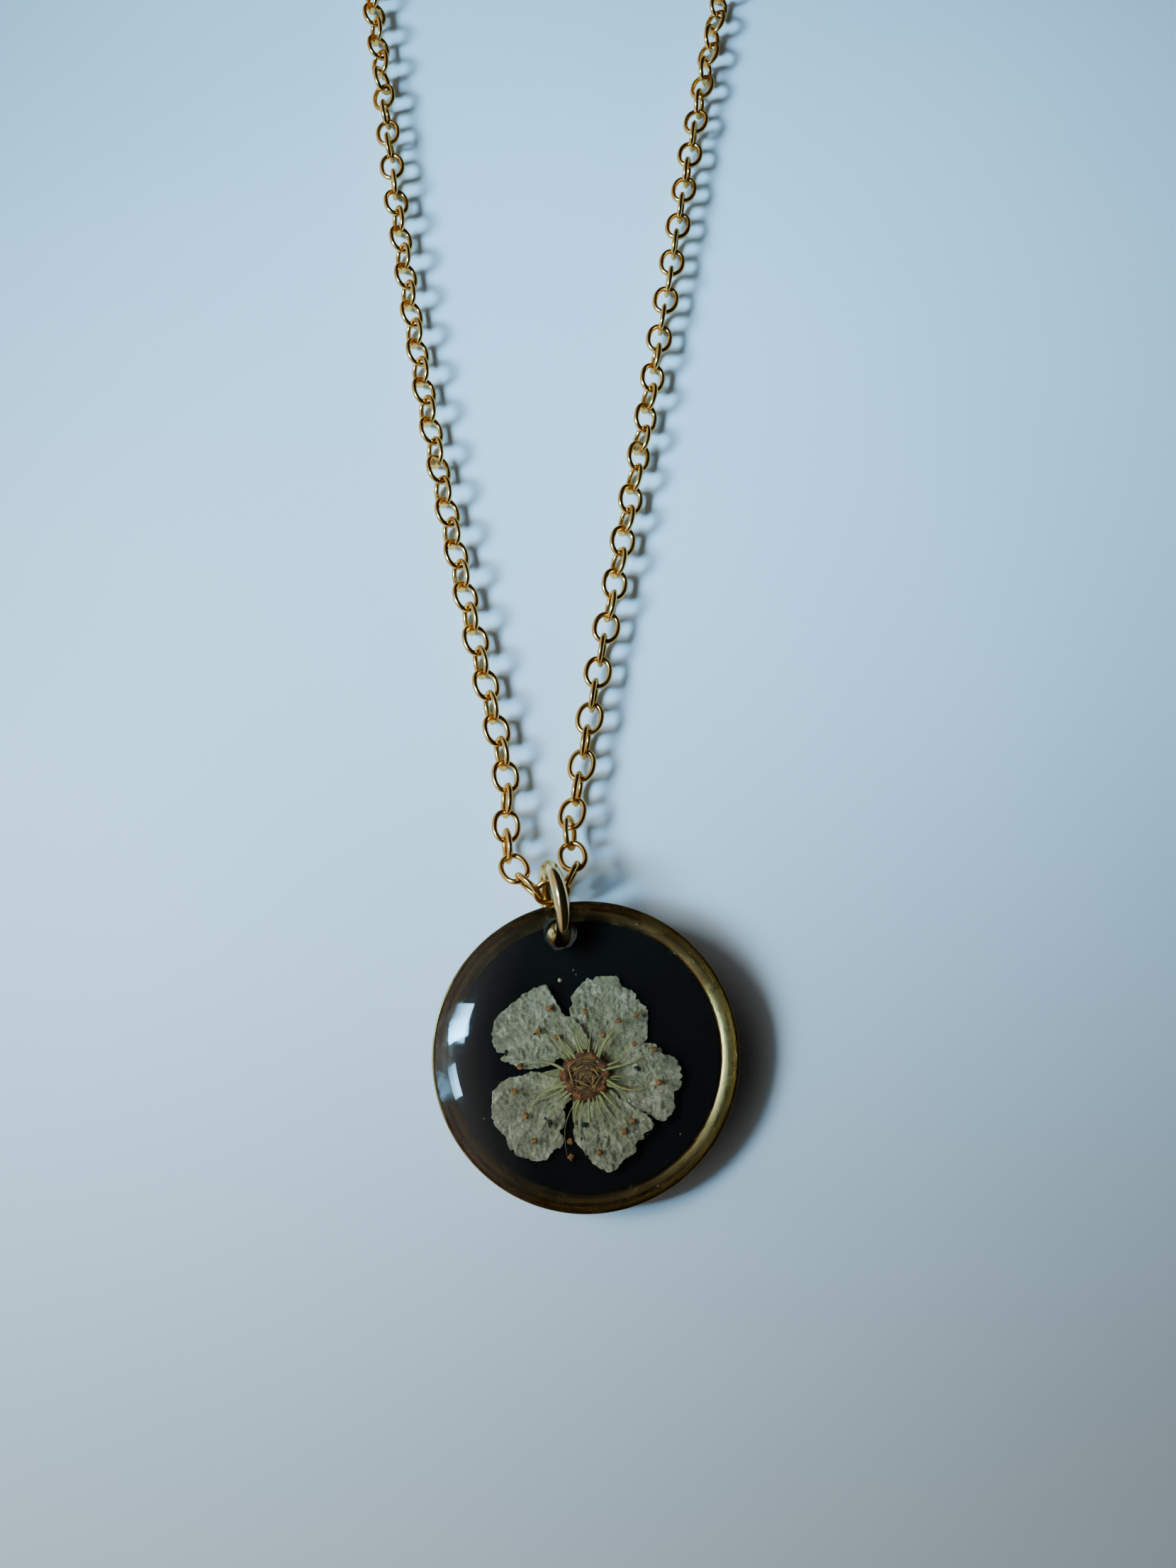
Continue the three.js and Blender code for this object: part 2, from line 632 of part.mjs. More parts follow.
// The sprung lever that closes the claw, with its thumb knob outside
function claspTrigger() {
  const middle = CLASP_LIFT + CLAW_THICKNESS / 2;
  const bottom = middle - TRIGGER_THICKNESS / 2;
  const tip = GATE_END - 0.12;
  const outline = [
    [PIVOT_X + 0.75, PIVOT_Y - 0.35],
    [tip - 0.4, CLAW_MOUTH + 0.02],
    [tip, CLAW_MOUTH + 0.16],
    [tip, CLAW_MOUTH + CLAW_WALL - 0.1],
    [PIVOT_X + 1.2, PIVOT_Y + 0.8],
    [PIVOT_X + 0.5, PIVOT_Y + 1.7],
    [PIVOT_X - 0.5, PIVOT_Y + 1.75],
    [PIVOT_X - 0.7, PIVOT_Y + 0.6],
    [PIVOT_X - 0.6, PIVOT_Y - 0.3],
    [PIVOT_X, PIVOT_Y - 0.65],
  ].map(([x, y]) => new THREE.Vector2(x, y));
  const bore = circle(PIVOT_X, PIVOT_Y, PIN_RADIUS + 0.12, 12);
  const geometry = plate(outline, bottom, TRIGGER_THICKNESS, [bore]);
  return named("clasp_trigger", geometry.applyMatrix4(clasp), "chain");
}

function claspRing(name, { radius, wire, x }) {
  const along = new THREE.Vector3(1, 0, 0).transformDirection(clasp);
  return ringMesh(name, claspPoint(x, 0, radius + wire), along, UP, radius, wire, 20, 6);
}

const necklace = new THREE.Group();
necklace.name = "pressed_spirea_necklace";
necklace.add(pendantGroup, jumpRing());
const left = leftStrand();
const right = rightStrand();
necklace.add(bight(left.slice(0, BIGHT_LINKS), right.slice(0, BIGHT_LINKS)));
necklace.add(...stretches("left", left.slice(BIGHT_LINKS)));
necklace.add(...stretches("right", right.slice(BIGHT_LINKS)));
necklace.add(claspBody(), claspTrigger());
necklace.add(claspRing("clasp_ring_tail", TAIL_RING), claspRing("clasp_ring_hook", HOOK_RING));

// The origin is on the surface, under the middle of the whole necklace's box
necklace.updateMatrixWorld(true);
const box = new THREE.Box3().setFromObject(necklace, true);
const middle = box.getCenter(new THREE.Vector3());
necklace.position.set(-middle.x, -middle.y, -box.min.z);
necklace.updateMatrixWorld(true);

export default necklace;
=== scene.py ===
"""Looks of a pendant necklace that holds a pressed spirea blossom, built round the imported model.

Lengths are millimetres up to the point where a mesh is made, which is in metres as the frame is.
"""

import json
import math
import random

import bmesh
import bpy
import numpy as np
from mathutils import Matrix, Vector, noise


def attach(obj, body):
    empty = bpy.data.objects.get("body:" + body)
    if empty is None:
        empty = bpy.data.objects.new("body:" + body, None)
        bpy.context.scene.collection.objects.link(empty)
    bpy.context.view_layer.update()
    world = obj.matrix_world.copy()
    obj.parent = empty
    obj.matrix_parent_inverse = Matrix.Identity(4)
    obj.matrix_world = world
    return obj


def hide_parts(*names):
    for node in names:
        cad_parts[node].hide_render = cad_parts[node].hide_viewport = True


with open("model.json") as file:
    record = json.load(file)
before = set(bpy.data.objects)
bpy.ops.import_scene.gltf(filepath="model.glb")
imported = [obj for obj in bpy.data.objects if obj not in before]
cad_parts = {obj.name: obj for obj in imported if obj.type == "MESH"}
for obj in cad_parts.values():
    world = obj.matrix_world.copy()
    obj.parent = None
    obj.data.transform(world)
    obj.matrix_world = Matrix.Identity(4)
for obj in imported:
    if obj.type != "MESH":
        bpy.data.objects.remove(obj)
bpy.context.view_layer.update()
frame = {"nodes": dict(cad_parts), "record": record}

MM = 0.001
DEGREE = math.pi / 180
UP = Vector((0, 0, 1))

# Pendant
PENDANT_RADIUS = 10.0
BEZEL_FLOOR = 0.6
BEZEL_HEIGHT = 2.2
BEZEL_LIP = 0.2
BEZEL_CORNER = 0.22
LIP_CORNER = 0.1
COVE_RADIUS = 8.6
DISC_BOTTOM = 0.65
DISC_TOP = 1.0
DISC_GAP = 0.08
DISC_CLEARANCE = 0.02
RESIN_SEAT = 0.04  # how far the cast reaches into the disc
RESIN_LAP = 0.01  # how far it reaches into the bezel
CROWN_RINGS = 40
DOME_RISE = 1.3
DOME_POWER = 3.5
HOLE_RADIUS = 1.0
HOLE_DISTANCE = 7.95
HOLE_TURN = 12.1 * DEGREE
DRILL_BOTTOM = -1
DRILL_TOP = 5
DRILL_SIDES = 48
HOLE_DIRECTION = Vector((-math.sin(HOLE_TURN), math.cos(HOLE_TURN), 0))
ACROSS_HOLE = Vector((math.cos(HOLE_TURN), math.sin(HOLE_TURN), 0))
TURN_STEPS = 192

# Blossom, from the pendant's middle
BLOSSOM = Vector((0, -1.4, 0))
RESIN_SHRINK = 0.95  # undoes the resin's magnification in what was measured through it
PETAL_THICKNESS = 0.1
PETAL_RINGS = 44
PETAL_STEPS = 320
FOLD_HEIGHT = 0.09
CREASE_HEIGHT = 0.055
GRAIN_HEIGHT = 0.05
BLISTER_HEIGHT = 0.09
RIDGE_HEIGHT = 0.06

# Each petal's level over the bezel's back, its direction and its edge from the blossom's middle
PETALS = {
    "petal_1": (1.52, 141, [
        (0.2, 2.1), (-0.2, 3.1), (-0.9, 3.9), (-1.5, 4.1), (-1.8, 4.6), (-2.3, 5.4), (-2.7, 6.1),
        (-3.3, 6.0), (-4.1, 5.6), (-4.9, 5.0), (-5.5, 4.4), (-6.1, 3.9), (-6.3, 3.2), (-6.3, 2.1),
        (-6.0, 1.6), (-5.4, 1.5), (-5.8, 1.1), (-5.1, 0.8), (-4.4, 0.5), (-3.3, 0.5), (-2.3, 0.8),
        (-1.8, 1.2), (-0.9, 0.6),
    ]),
    "petal_2": (1.3, 70, [
        (0.2, 0.6), (-0.3, 2.1), (-0.8, 3.2), (-1.1, 4.1), (-1.1, 4.9), (-0.9, 5.5), (-0.2, 6.3),
        (0.4, 6.6), (1.2, 6.7), (2.1, 6.7), (2.5, 6.0), (3.2, 5.7), (3.7, 5.0), (4.2, 4.5), (4.2, 3.4),
        (4.1, 2.5), (3.7, 2.0), (2.9, 1.5), (1.9, 1.0), (0.9, 0.4),
    ]),
    "petal_3": (1.46, -2, [
        (0.6, -0.1), (1.6, 0.7), (2.4, 1.3), (3.2, 1.8), (4.1, 2.2), (4.9, 2.1), (5.4, 1.5), (6.1, 1.1),
        (6.5, 0.2), (6.4, -0.7), (5.9, -1.2), (6.0, -2.0), (5.2, -2.9), (4.7, -2.8), (4.2, -2.5),
        (3.4, -2.4), (2.6, -1.8), (1.3, -1.0),
    ]),
    "petal_4": (1.62, -65, [
        (0.1, -0.5), (1.2, -0.6), (2.4, -1.5), (3.2, -2.1), (4.1, -2.5), (4.5, -3.0), (4.4, -3.5),
        (3.9, -3.7), (3.8, -4.1), (3.4, -4.3), (3.3, -4.9), (2.6, -5.4), (2.2, -5.9), (1.6, -6.2),
        (1.0, -6.0), (0.4, -5.6), (-0.1, -5.0), (-0.7, -4.3), (-0.8, -3.5), (-0.7, -2.8), (-0.2, -2.0),
    ]),
    "petal_5": (1.36, -146, [
        (-0.5, -0.4), (-1.3, 0.0), (-1.9, -0.1), (-2.7, 0.1), (-3.6, 0.3), (-4.5, 0.0), (-5.3, -0.2),
        (-5.9, -0.6), (-6.3, -1.3), (-6.3, -2.0), (-6.2, -3.0), (-5.7, -3.6), (-5.3, -4.0), (-5.1, -4.6),
        (-4.6, -5.1), (-3.8, -5.4), (-3.1, -5.5), (-2.6, -5.4), (-2.3, -5.0), (-1.7, -4.6), (-1.5, -4.0),
        (-1.7, -3.7), (-1.3, -3.0), (-1.4, -2.1), (-0.8, -1.3),
    ]),
}
CENTRE_RADIUS = 1.68
CENTRE_TOP = 2.3
CUP_LEVEL = 1.82
CUP_FOOT = 1.3
STAMEN_LEVEL = 1.98
FILAMENT_START = 1.1
FILAMENT_POINTS = 12
FILAMENT_DROP = 0.26
ANTHER_DROP = 0.13
SEPAL_LEVEL = 1.2
SEPAL_THICKNESS = 0.08
# Each stamen's direction in degrees and its anther's distance from the blossom's middle
STAMENS = [
    (119, 4.9), (91, 4.1), (59, 4.1), (50, 5.1), (138, 4.2), (128, 3.1), (33, 3.7), (21, 4.7),
    (-5, 4.7), (-18, 2.6), (192, 4.7), (213, 4.6), (231, 5.2), (280, 4.8), (305, 4.2), (316, 4.1),
    (172, 4.3), (67, 2.8),
]
LOOSE_ANTHERS = [(-1.05, -4.25), (-1.0, -5.25)]
LOOSE_LEVEL = 1.25
# Directions, reaches and thickness of filaments that have lost their anthers
BARE_FILAMENTS = [
    (46, 4.0, 0.06), (85, 4.1, 0.045), (108, 3.2, 0.09), (204, 3.8, 0.07), (220, 3.4, 0.07),
    (258, 3.4, 0.07), (264, 3.8, 0.05), (257, 5.2, 0.03), (306, 3.4, 0.13), (328, 3.1, 0.1),
    (348, 3.4, 0.06), (352, 2.3, 0.11), (23, 2.2, 0.1), (72, 2.6, 0.08), (295, 2.9, 0.06),
]
# Place and size of the dark bits on the petals, and of the air bubbles in the resin
BLACK_BITS = [
    (-2.4, -3.1, 0.15), (-2.7, -2.8, 0.09), (-0.1, -3.2, 0.15), (3.5, 0.5, 0.14), (-3.5, 2.8, 0.08),
    (-0.3, -4.1, 0.07), (-5.4, 1.5, 0.12), (4.1, -3.8, 0.1), (1.3, -4.0, 0.05),
]
BUBBLES = [
    (-1.8, 6.4, 0.15), (-0.9, 7.1, 0.06), (-0.7, 6.8, 0.05), (6.1, 8.3, 0.08), (3.5, 10.3, 0.07),
    (6.3, -3.8, 0.05), (4.8, -7.2, 0.06), (-6.8, -2.8, 0.05), (-5.4, 3.6, 0.12), (-5.1, 3.9, 0.07),
    (2.2, 5.0, 0.08), (1.4, 4.2, 0.06), (3.1, 4.4, 0.05), (-2.9, 1.7, 0.09), (-4.6, 1.6, 0.07),
    (5.0, -1.1, 0.06), (4.2, 0.1, 0.05), (-4.4, -1.4, 0.06),
]
BITS_LEVEL = 1.82
BUBBLE_LEVEL = 1.95
RIM_BUBBLE_LEVEL = 2.25
SEPAL_TURNS = [105, 34, -34, -105, 178]

# Jump ring
RING_RADIUS = 2.5
RING_WIRE = 0.5
RING_LEAN = 10 * DEGREE
RING_OUT = 10.15
RING_RISE = 1.27

# Chain
LINK_LENGTH = 2.6
LINK_WIDTH = 2.1
LINK_WIRE = 0.2
LINK_PITCH = 1.8
LINK_SECTION = 0.29
LINK_SQUARENESS = 2.25  # 2 is an ellipse
LINK_STRAY = 2  # degrees, the spread of the links' rolls off their lay
LINK_STEPS = 30
WIRE_SIDES = 10
BIGHT_LINKS = 3
STRETCH_LINKS = 18
STRETCH_SLACK = 0.15
FLATTENING_LINKS = 8
CHAIN_RISE = 0.067  # of the table under the chain, in the row frame
LEFT_ROUTE = [
    (-5.63, 19.5), (-6.84, 24.9), (-9.47, 36.1), (-12.03, 48.2), (-14.34, 61.3), (-16.37, 75.3),
    (-18.5, 90.4), (-21.8, 107), (-26.6, 125), (-31, 143), (-32, 160), (-27.2, 173), (-19, 180.5),
]
RIGHT_ROUTE = [
    (-0.4, 19.5), (0.44, 24.8), (2.43, 36.2), (4.54, 48.3), (6.63, 61.2), (8.85, 75.2),
    (11.6, 90.4), (15.4, 107), (20.4, 125), (24.6, 143), (25.4, 160), (20.8, 172), (13, 179.2),
]
LEFT_TWIST = [(0, 45), (5, 64), (18, 70), (30, 80), (54, 80), (66, 35), (80, -20), (120, 30)]
RIGHT_TWIST = [
    (0, 45), (4, 24), (10, 36), (18, 45), (25, 72), (38, 80), (46, 50), (62, 40), (80, 0), (120, -35),
]

# Clasp
CLASP_TURN = -5 * DEGREE
CLASP_PLACE = Vector((-8.3, 184, 0))
TAIL_RING = {"radius": 1.6, "wire": 0.3, "x": -1.3}
HOOK_RING = {"radius": 2.1, "wire": 0.35, "x": 9.95}

# Photograph's camera: focal length in pixels of its 1659 x 2212 frame, and its place from the
# middle of the pendant's back
PHOTO_HEIGHT = 2212
FOCAL_PIXELS = 2000
SENSOR_MM = 36
CAMERA_LEAN = 18.2 * DEGREE
CAMERA_PLACE = Vector((0.16, -12.29, 95.08))

# The lights' beams fade from their aims, given from the middle of the pendant's back. The window's
# lights show in shiny surfaces alone and the daylight's light the matt ones alone.
PANE_AIM = Vector((-39, 2.4, 0))
PANE_SPREAD = 26.2 * DEGREE
SKY_AIM = Vector((0, 59, 0))
SKY_SPREAD = 35.2 * DEGREE
NEAR_AIM = Vector((-38, -7, 0))
NEAR_SPREAD = 32.5 * DEGREE
FAR_AIM = Vector((-2, 62, 0))
FAR_SPREAD = 26 * DEGREE
CLASP_AIM = Vector((8, 195, 0))
CLASP_SPREAD = 24 * DEGREE
WINDOW_DISTANCE = 0.22  # metres
FLOOR_REACH = 3000
WINDOW_PALE = (0.33, 0.68, 1.0)
WINDOW_BLUE = (0.2, 0.63, 1.0)
PANE_SIZE = (0.043, 0.047)
LOWER_PANE_SIZE = (0.037, 0.022)
OPENING_SIZE = (0.103, 0.075)
CLASP_LAMP_SIZE = (0.06, 0.05)
# Each light's azimuth, elevation, size in metres, watts, colour, aim, spread and whether it is mirrored
LIGHTS = {
    "window_upper": (167, 50, PANE_SIZE, 0.0095, WINDOW_PALE, PANE_AIM, PANE_SPREAD, True),
    "window_lower": (193.5, 47.5, LOWER_PANE_SIZE, 0.004, WINDOW_PALE, PANE_AIM, PANE_SPREAD, True),
    "window_sky": (167, 50, PANE_SIZE, 0.0655, WINDOW_BLUE, SKY_AIM, SKY_SPREAD, True),
    "daylight_near": (180, 39.5, OPENING_SIZE, 0.0283, (0.72, 0.9, 1.0), NEAR_AIM, NEAR_SPREAD, False),
    "daylight_far": (180, 39.5, OPENING_SIZE, 0.085, (0.255, 0.652, 1.0), FAR_AIM, FAR_SPREAD, False),
    "daylight_clasp": (180, 39.5, CLASP_LAMP_SIZE, 0.1, (0.38, 0.72, 1.0), CLASP_AIM, CLASP_SPREAD, False),
}
# The room's brightness from the far left of the view, at 0, to its far right
ROOM_LIGHT = [(0, 0.7), (0.2, 0.7), (0.31, 0.22), (0.39, 0.02), (1, 0.012)]
MATT_SHARE = 0.85  # of the room's light that reaches matt surfaces

back_mount = next(m for m in frame["record"]["mounts"] if m["name"] == "pendant_back")
pendant_middle = Vector(back_mount["pos_m"]) / MM
pendant_tilt = UP.rotation_difference(-Vector(back_mount["axis"])).to_matrix().to_4x4()
PENDANT = Matrix.Translation(pendant_middle) @ pendant_tilt
TABLE = Matrix.Translation((pendant_middle.x, pendant_middle.y, CHAIN_RISE))
CLASP = TABLE @ Matrix.Translation(CLASP_PLACE) @ Matrix.Rotation(CLASP_TURN, 4, "Z")
ring_centre = PENDANT @ (HOLE_DIRECTION * RING_OUT + UP * RING_RISE)
hole_centre = HOLE_DIRECTION * HOLE_DISTANCE


class Shader:
    """A material whose textures are laid out in millimetres of the row frame."""

    def __init__(self, name, **constants):
        self.material = bpy.data.materials.new(name)
        self.material.use_nodes = True
        self.tree = self.material.node_tree
        self.surface = self.tree.nodes["Principled BSDF"]
        self.place = self.add("ShaderNodeTexCoord").outputs["Object"]
        for socket, value in constants.items():
            self.surface.inputs[socket.replace("_", " ")].default_value = value

    def add(self, kind, inputs=None, **settings):
        return add_node(self.tree, kind, inputs, **settings)

    def noise(self, per_mm, detail=3.0, roughness=0.5, distortion=0.0):
        inputs = {
            "Vector": self.place,
            "Scale": per_mm / MM,
            "Detail": detail,
            "Roughness": roughness,
            "Distortion": distortion,
        }
        return self.add("ShaderNodeTexNoise", inputs).outputs["Fac"]

    def ramp(self, factor, stops):
        node = self.add("ShaderNodeValToRGB", {"Fac": factor})
        fill_ramp(node.color_ramp.elements, stops)
        return node.outputs["Color"]

    def math(self, operation, *values):
        return self.add("ShaderNodeMath", dict(enumerate(values)), operation=operation).outputs[0]

    def mix(self, factor, a, b, blend="MIX"):
        node = self.add("ShaderNodeMix", data_type="RGBA", blend_type=blend)
        for index, value in ((0, factor), (6, a), (7, b)):
            if isinstance(value, bpy.types.NodeSocket):
                self.tree.links.new(value, node.inputs[index])
            elif index:
                node.inputs[index].default_value = (*value, 1)
            else:
                node.inputs[index].default_value = value
        return node.outputs[2]

    def bump(self, height, depth_mm, strength=1.0, below=None):
        inputs = {"Height": height, "Distance": depth_mm * MM, "Strength": strength}
        if below:
            inputs["Normal"] = below
        return self.add("ShaderNodeBump", inputs).outputs["Normal"]

    def link(self, **sockets):
        for socket, value in sockets.items():
            self.tree.links.new(value, self.surface.inputs[socket.replace("_", " ")])
        return self.material


def add_node(tree, kind, inputs=None, **settings):
    """A new node, its inputs given values or joined to other nodes' outputs."""
    node = tree.nodes.new(kind)
    for key, value in settings.items():
        setattr(node, key, value)
    for socket, value in (inputs or {}).items():
        if isinstance(value, bpy.types.NodeSocket):
            tree.links.new(value, node.inputs[socket])
        else:
            node.inputs[socket].default_value = value
    return node


def fill_ramp(elements, stops):
    while len(elements) < len(stops):
        elements.new(0.5)
    for element, (position, colour) in zip(elements, stops):
        element.position = position
        element.color = (*colour, 1) if isinstance(colour, tuple) else (colour,) * 3 + (1,)


def gold(name, dark, light, roughness, dents):
    """Plated metal: slow colour drift, a duller bloom in patches and, by a depth, shallow dents."""
    shader = Shader(name, Metallic=1.0, Specular_Tint=(0.85, 0.62, 0.38, 1))
    drift = shader.noise(0.5, 2)
    colour = shader.ramp(drift, [(0.3, dark), (0.7, light)])
    smear = shader.noise(0.6, 3, 0.5, 0.5)
    rough = shader.ramp(smear, [(0.3, roughness * 0.8), (0.75, roughness * 1.3)])
    normal = shader.bump(shader.noise(1.6, 2), dents, 0.4)
    return shader.link(Base_Color=colour, Roughness=rough, Normal=normal)


def disc_material():
    shader = Shader("black_disc", Specular_IOR_Level=0.05)
    fibre = shader.noise(9, 5, 0.7)
    colour = shader.ramp(fibre, [(0.35, (0.0018, 0.001, 0.0006)), (0.8, (0.0046, 0.0026, 0.0016))])
    rough = shader.ramp(fibre, [(0.2, 0.55), (0.8, 0.75)])
    return shader.link(Base_Color=colour, Roughness=rough, Normal=shader.bump(fibre, 0.02, 0.4))


def resin_material():
    """Clear cast resin. Shadow rays go straight through, so that lamps reach what it holds."""
    shader = Shader("clear_resin", Transmission_Weight=1.0, IOR=1.5)
    shader.surface.inputs["Base Color"].default_value = (0.985, 0.99, 0.99, 1)
    smears = shader.noise(0.9, 4, 0.6, 2.0)
    rough = shader.ramp(smears, [(0.4, 0.035), (0.85, 0.1)])
    swell = shader.bump(shader.noise(0.28, 1), 0.05, 0.12)
    shader.link(Roughness=rough, Normal=swell)
    clear = shader.add("ShaderNodeBsdfTransparent", {"Color": (0.94, 0.95, 0.95, 1)})
    path = shader.add("ShaderNodeLightPath")
    either = shader.add("ShaderNodeMixShader", {"Fac": path.outputs["Is Shadow Ray"]})
    output = shader.tree.nodes["Material Output"]
    shader.tree.links.new(shader.surface.outputs[0], either.inputs[1])
    shader.tree.links.new(clear.outputs[0], either.inputs[2])
    shader.tree.links.new(either.outputs[0], output.inputs["Surface"])
    return shader.material


def hole_chips_and_painted_shade_material():
    shader = Shader("hole_chips_and_painted_shade", Specular_IOR_Level=0.35)
    grain = shader.noise(7, 5, 0.75)
    # Mostly near black, painted shade inside the hole, with paler chipped bits
    stops = [(0.35, (0.006, 0.0045, 0.003)), (0.58, (0.03, 0.022, 0.013)), (0.78, (0.2, 0.15, 0.09))]
    colour = shader.ramp(grain, stops)
    rough = shader.ramp(grain, [(0.3, 0.35), (0.8, 0.8)])
    return shader.link(Base_Color=colour, Roughness=rough, Normal=shader.bump(grain, 0.08, 0.9))


def petal_material():
    """Dried petal: parchment in fine blotches, with yellowish veins and a yellowish base."""
    shader = Shader("petals", Specular_IOR_Level=0.35)
    sheet = shader.add("ShaderNodeUVMap", uv_map="petal").outputs["UV"]
    blotch = shader.noise(1.1, 5, 0.6, 0.4)
    fine = shader.noise(6.5, 5, 0.68, 0.6)
    tone = shader.ramp(
        shader.mix(0.42, blotch, fine),
        [
            (0.3, (0.06, 0.042, 0.018)), (0.42, (0.125, 0.087, 0.041)), (0.53, (0.215, 0.148, 0.074)),
            (0.66, (0.42, 0.295, 0.175)),
        ],
    )
    stretched = shader.add("ShaderNodeMapping", {"Vector": sheet, "Scale": (2.2, 15.0, 1.0)}).outputs[0]
    threads = shader.add("ShaderNodeTexNoise", {"Vector": stretched, "Scale": 1.0, "Detail": 5.0})
    strands = threads.outputs["Fac"]
    along = shader.add("ShaderNodeSeparateXYZ", {"Vector": sheet}).outputs["X"]
    base = shader.ramp(along, [(0.12, 0.55), (0.4, 0.0)])
    tone = shader.mix(base, tone, (0.27, 0.195, 0.042))
    fade = shader.ramp(along, [(0.1, 0.9), (0.75, 0.15)])
    vein = shader.math("MULTIPLY", shader.ramp(strands, [(0.5, 0.0), (0.62, 1.0)]), fade)
    colour = shader.mix(vein, tone, (0.24, 0.18, 0.042))
    normal = shader.bump(shader.mix(0.3, fine, strands), 0.16, 0.9)
    rough = shader.ramp(fine, [(0.3, 0.42), (0.8, 0.75)])
    return shader.link(Base_Color=colour, Roughness=rough, Normal=normal)


def dried(name, stops, per_mm, roughness=0.75, depth_mm=0.05):
    """Dried plant tissue in the given colours, with a fibrous grain."""
    shader = Shader(name, Specular_IOR_Level=0.3, Roughness=roughness)
    grain = shader.noise(per_mm, 5, 0.7, 0.8)
    return shader.link(Base_Color=shader.ramp(grain, stops), Normal=shader.bump(grain, depth_mm, 0.8))


def floor_material():
    shader = Shader("pale_floor", Roughness=0.55, Specular_IOR_Level=0.25)
    drift = shader.noise(0.02, 2)
    colour = shader.ramp(drift, [(0.3, (0.78, 0.86, 0.93)), (0.7, (0.82, 0.9, 0.96))])
    return shader.link(Base_Color=colour)


def placed(name, data):
    """A new object in the scene."""
    made = bpy.data.objects.new(name, data)
    bpy.context.scene.collection.objects.link(made)
    return made


def piece(name, points, faces, body, slot, material, *nodes, place=None):
    """A mesh of points in millimetres, moved by place into the row frame, riding on a body."""
    place = place or Matrix.Identity(4)
    mesh = bpy.data.meshes.new(name)
    moved = np.asarray(points, float) @ np.array(place.to_3x3()).T + np.array(place.translation)
    mesh.from_pydata((moved * MM).tolist(), [], faces)
    mesh.validate()
    mesh.polygons.foreach_set("use_smooth", [True] * len(mesh.polygons))
    mesh.update()
    made = placed(name, mesh)
    mesh.materials.append(material)
    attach(made, body)
    if nodes:
        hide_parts(*nodes)
    return made


def in_pendant(name, part, slot, material, *nodes):
    """A piece of the pendant, from points laid out from the middle of its back."""
    return piece(name, *part, "pendant", slot, material, *nodes, place=PENDANT)


def joined(parts):
    """Several (points, faces) as one."""
    points = []
    faces = []
    for some_points, some_faces in parts:
        shift = len(points)
        points.extend(some_points)
        faces.extend([tuple(i + shift for i in face) for face in some_faces])
    return points, faces


def turned(profile, steps=TURN_STEPS):
    """Turns a profile of (radius, height) round Z. It starts and ends on the axis, or closes."""
    closed = profile[0] == profile[-1]
    rows = profile[:-1] if closed else profile
    points = []
    starts = []
    for radius, height in rows:
        starts.append(len(points))
        count = 1 if radius == 0 else steps
        for k in range(count):
            turn = 2 * math.pi * k / steps
            points.append((radius * math.cos(turn), radius * math.sin(turn), height))
    sizes = [1 if radius == 0 else steps for radius, _ in rows]
    faces = []
    for row in range(len(rows) if closed else len(rows) - 1):
        after = (row + 1) % len(rows)
        for k in range(steps):
            corners = [
                starts[row] + k % sizes[row],
                starts[row] + (k + 1) % steps % sizes[row],
                starts[after] + (k + 1) % steps % sizes[after],
                starts[after] + k % sizes[after],
            ]
            face = tuple(dict.fromkeys(corners))
            if len(face) > 2:
                faces.append(face)
    return points, faces


def rounded(corners, radius, steps=5):
    """An open profile with its inner corners rounded off."""
    result = [corners[0]]
    for before, corner, after in zip(corners, corners[1:], corners[2:]):
        here = Vector(corner)
        to_before = (Vector(before) - here).normalized()
        to_after = (Vector(after) - here).normalized()
        start = here + to_before * radius
        end = here + to_after * radius
        for k in range(steps + 1):
            share = k / steps
            point = start.lerp(here, share).lerp(here.lerp(end, share), share)
            result.append(tuple(point))
    result.append(corners[-1])
    return result


def wrapped_grid(rows, columns):
    """The faces of rows of points that close on themselves both ways."""
    faces = []
    for k in range(rows):
        for j in range(columns):
            low, high = k * columns, (k + 1) % rows * columns
            after = (j + 1) % columns
            faces.append((low + j, high + j, high + after, low + after))
    return faces


def fan_and_bands(steps, bands):
    """The faces of a middle point and the closed rows of points round it."""
    faces = [(0, 1 + k, 1 + (k + 1) % steps) for k in range(steps)]
    for band in range(bands):
        low = 1 + band * steps
        high = low + steps
        for k in range(steps):
            after = (k + 1) % steps
            faces.append((low + k, high + k, high + after, low + after))
    return faces


def bore(target, radius):
    """Cuts the jump ring's hole through a piece of the pendant."""
    profile = [(0, DRILL_BOTTOM), (radius, DRILL_BOTTOM), (radius, DRILL_TOP), (0, DRILL_TOP)]
    points, faces = turned(profile, DRILL_SIDES)
    place = PENDANT @ Matrix.Translation(hole_centre)
    mesh = bpy.data.meshes.new("bore")
    mesh.from_pydata([(place @ Vector(p)) * MM for p in points], [], faces)
    cutter = placed("bore", mesh)
    cut = target.modifiers.new("bore", "BOOLEAN")
    cut.operation = "DIFFERENCE"
    cut.solver = "EXACT"
    cut.object = cutter
    bake(target)
    bpy.data.objects.remove(cutter)


def bake(target):
    """Applies a piece's modifiers to its mesh."""
    graph = bpy.context.evaluated_depsgraph_get()
    mesh = bpy.data.meshes.new_from_object(target.evaluated_get(graph))
    target.modifiers.clear()
    target.data = mesh


def sharpen(target, angle=35 * DEGREE):
    """Keeps the edges that are sharper than the angle crisp in the smooth shading."""
    mesh = bmesh.new()
    mesh.from_mesh(target.data)
    for edge in mesh.edges:
        edge.smooth = not (len(edge.link_faces) == 2 and edge.calc_face_angle(0) > angle)
    mesh.to_mesh(target.data)
    mesh.free()


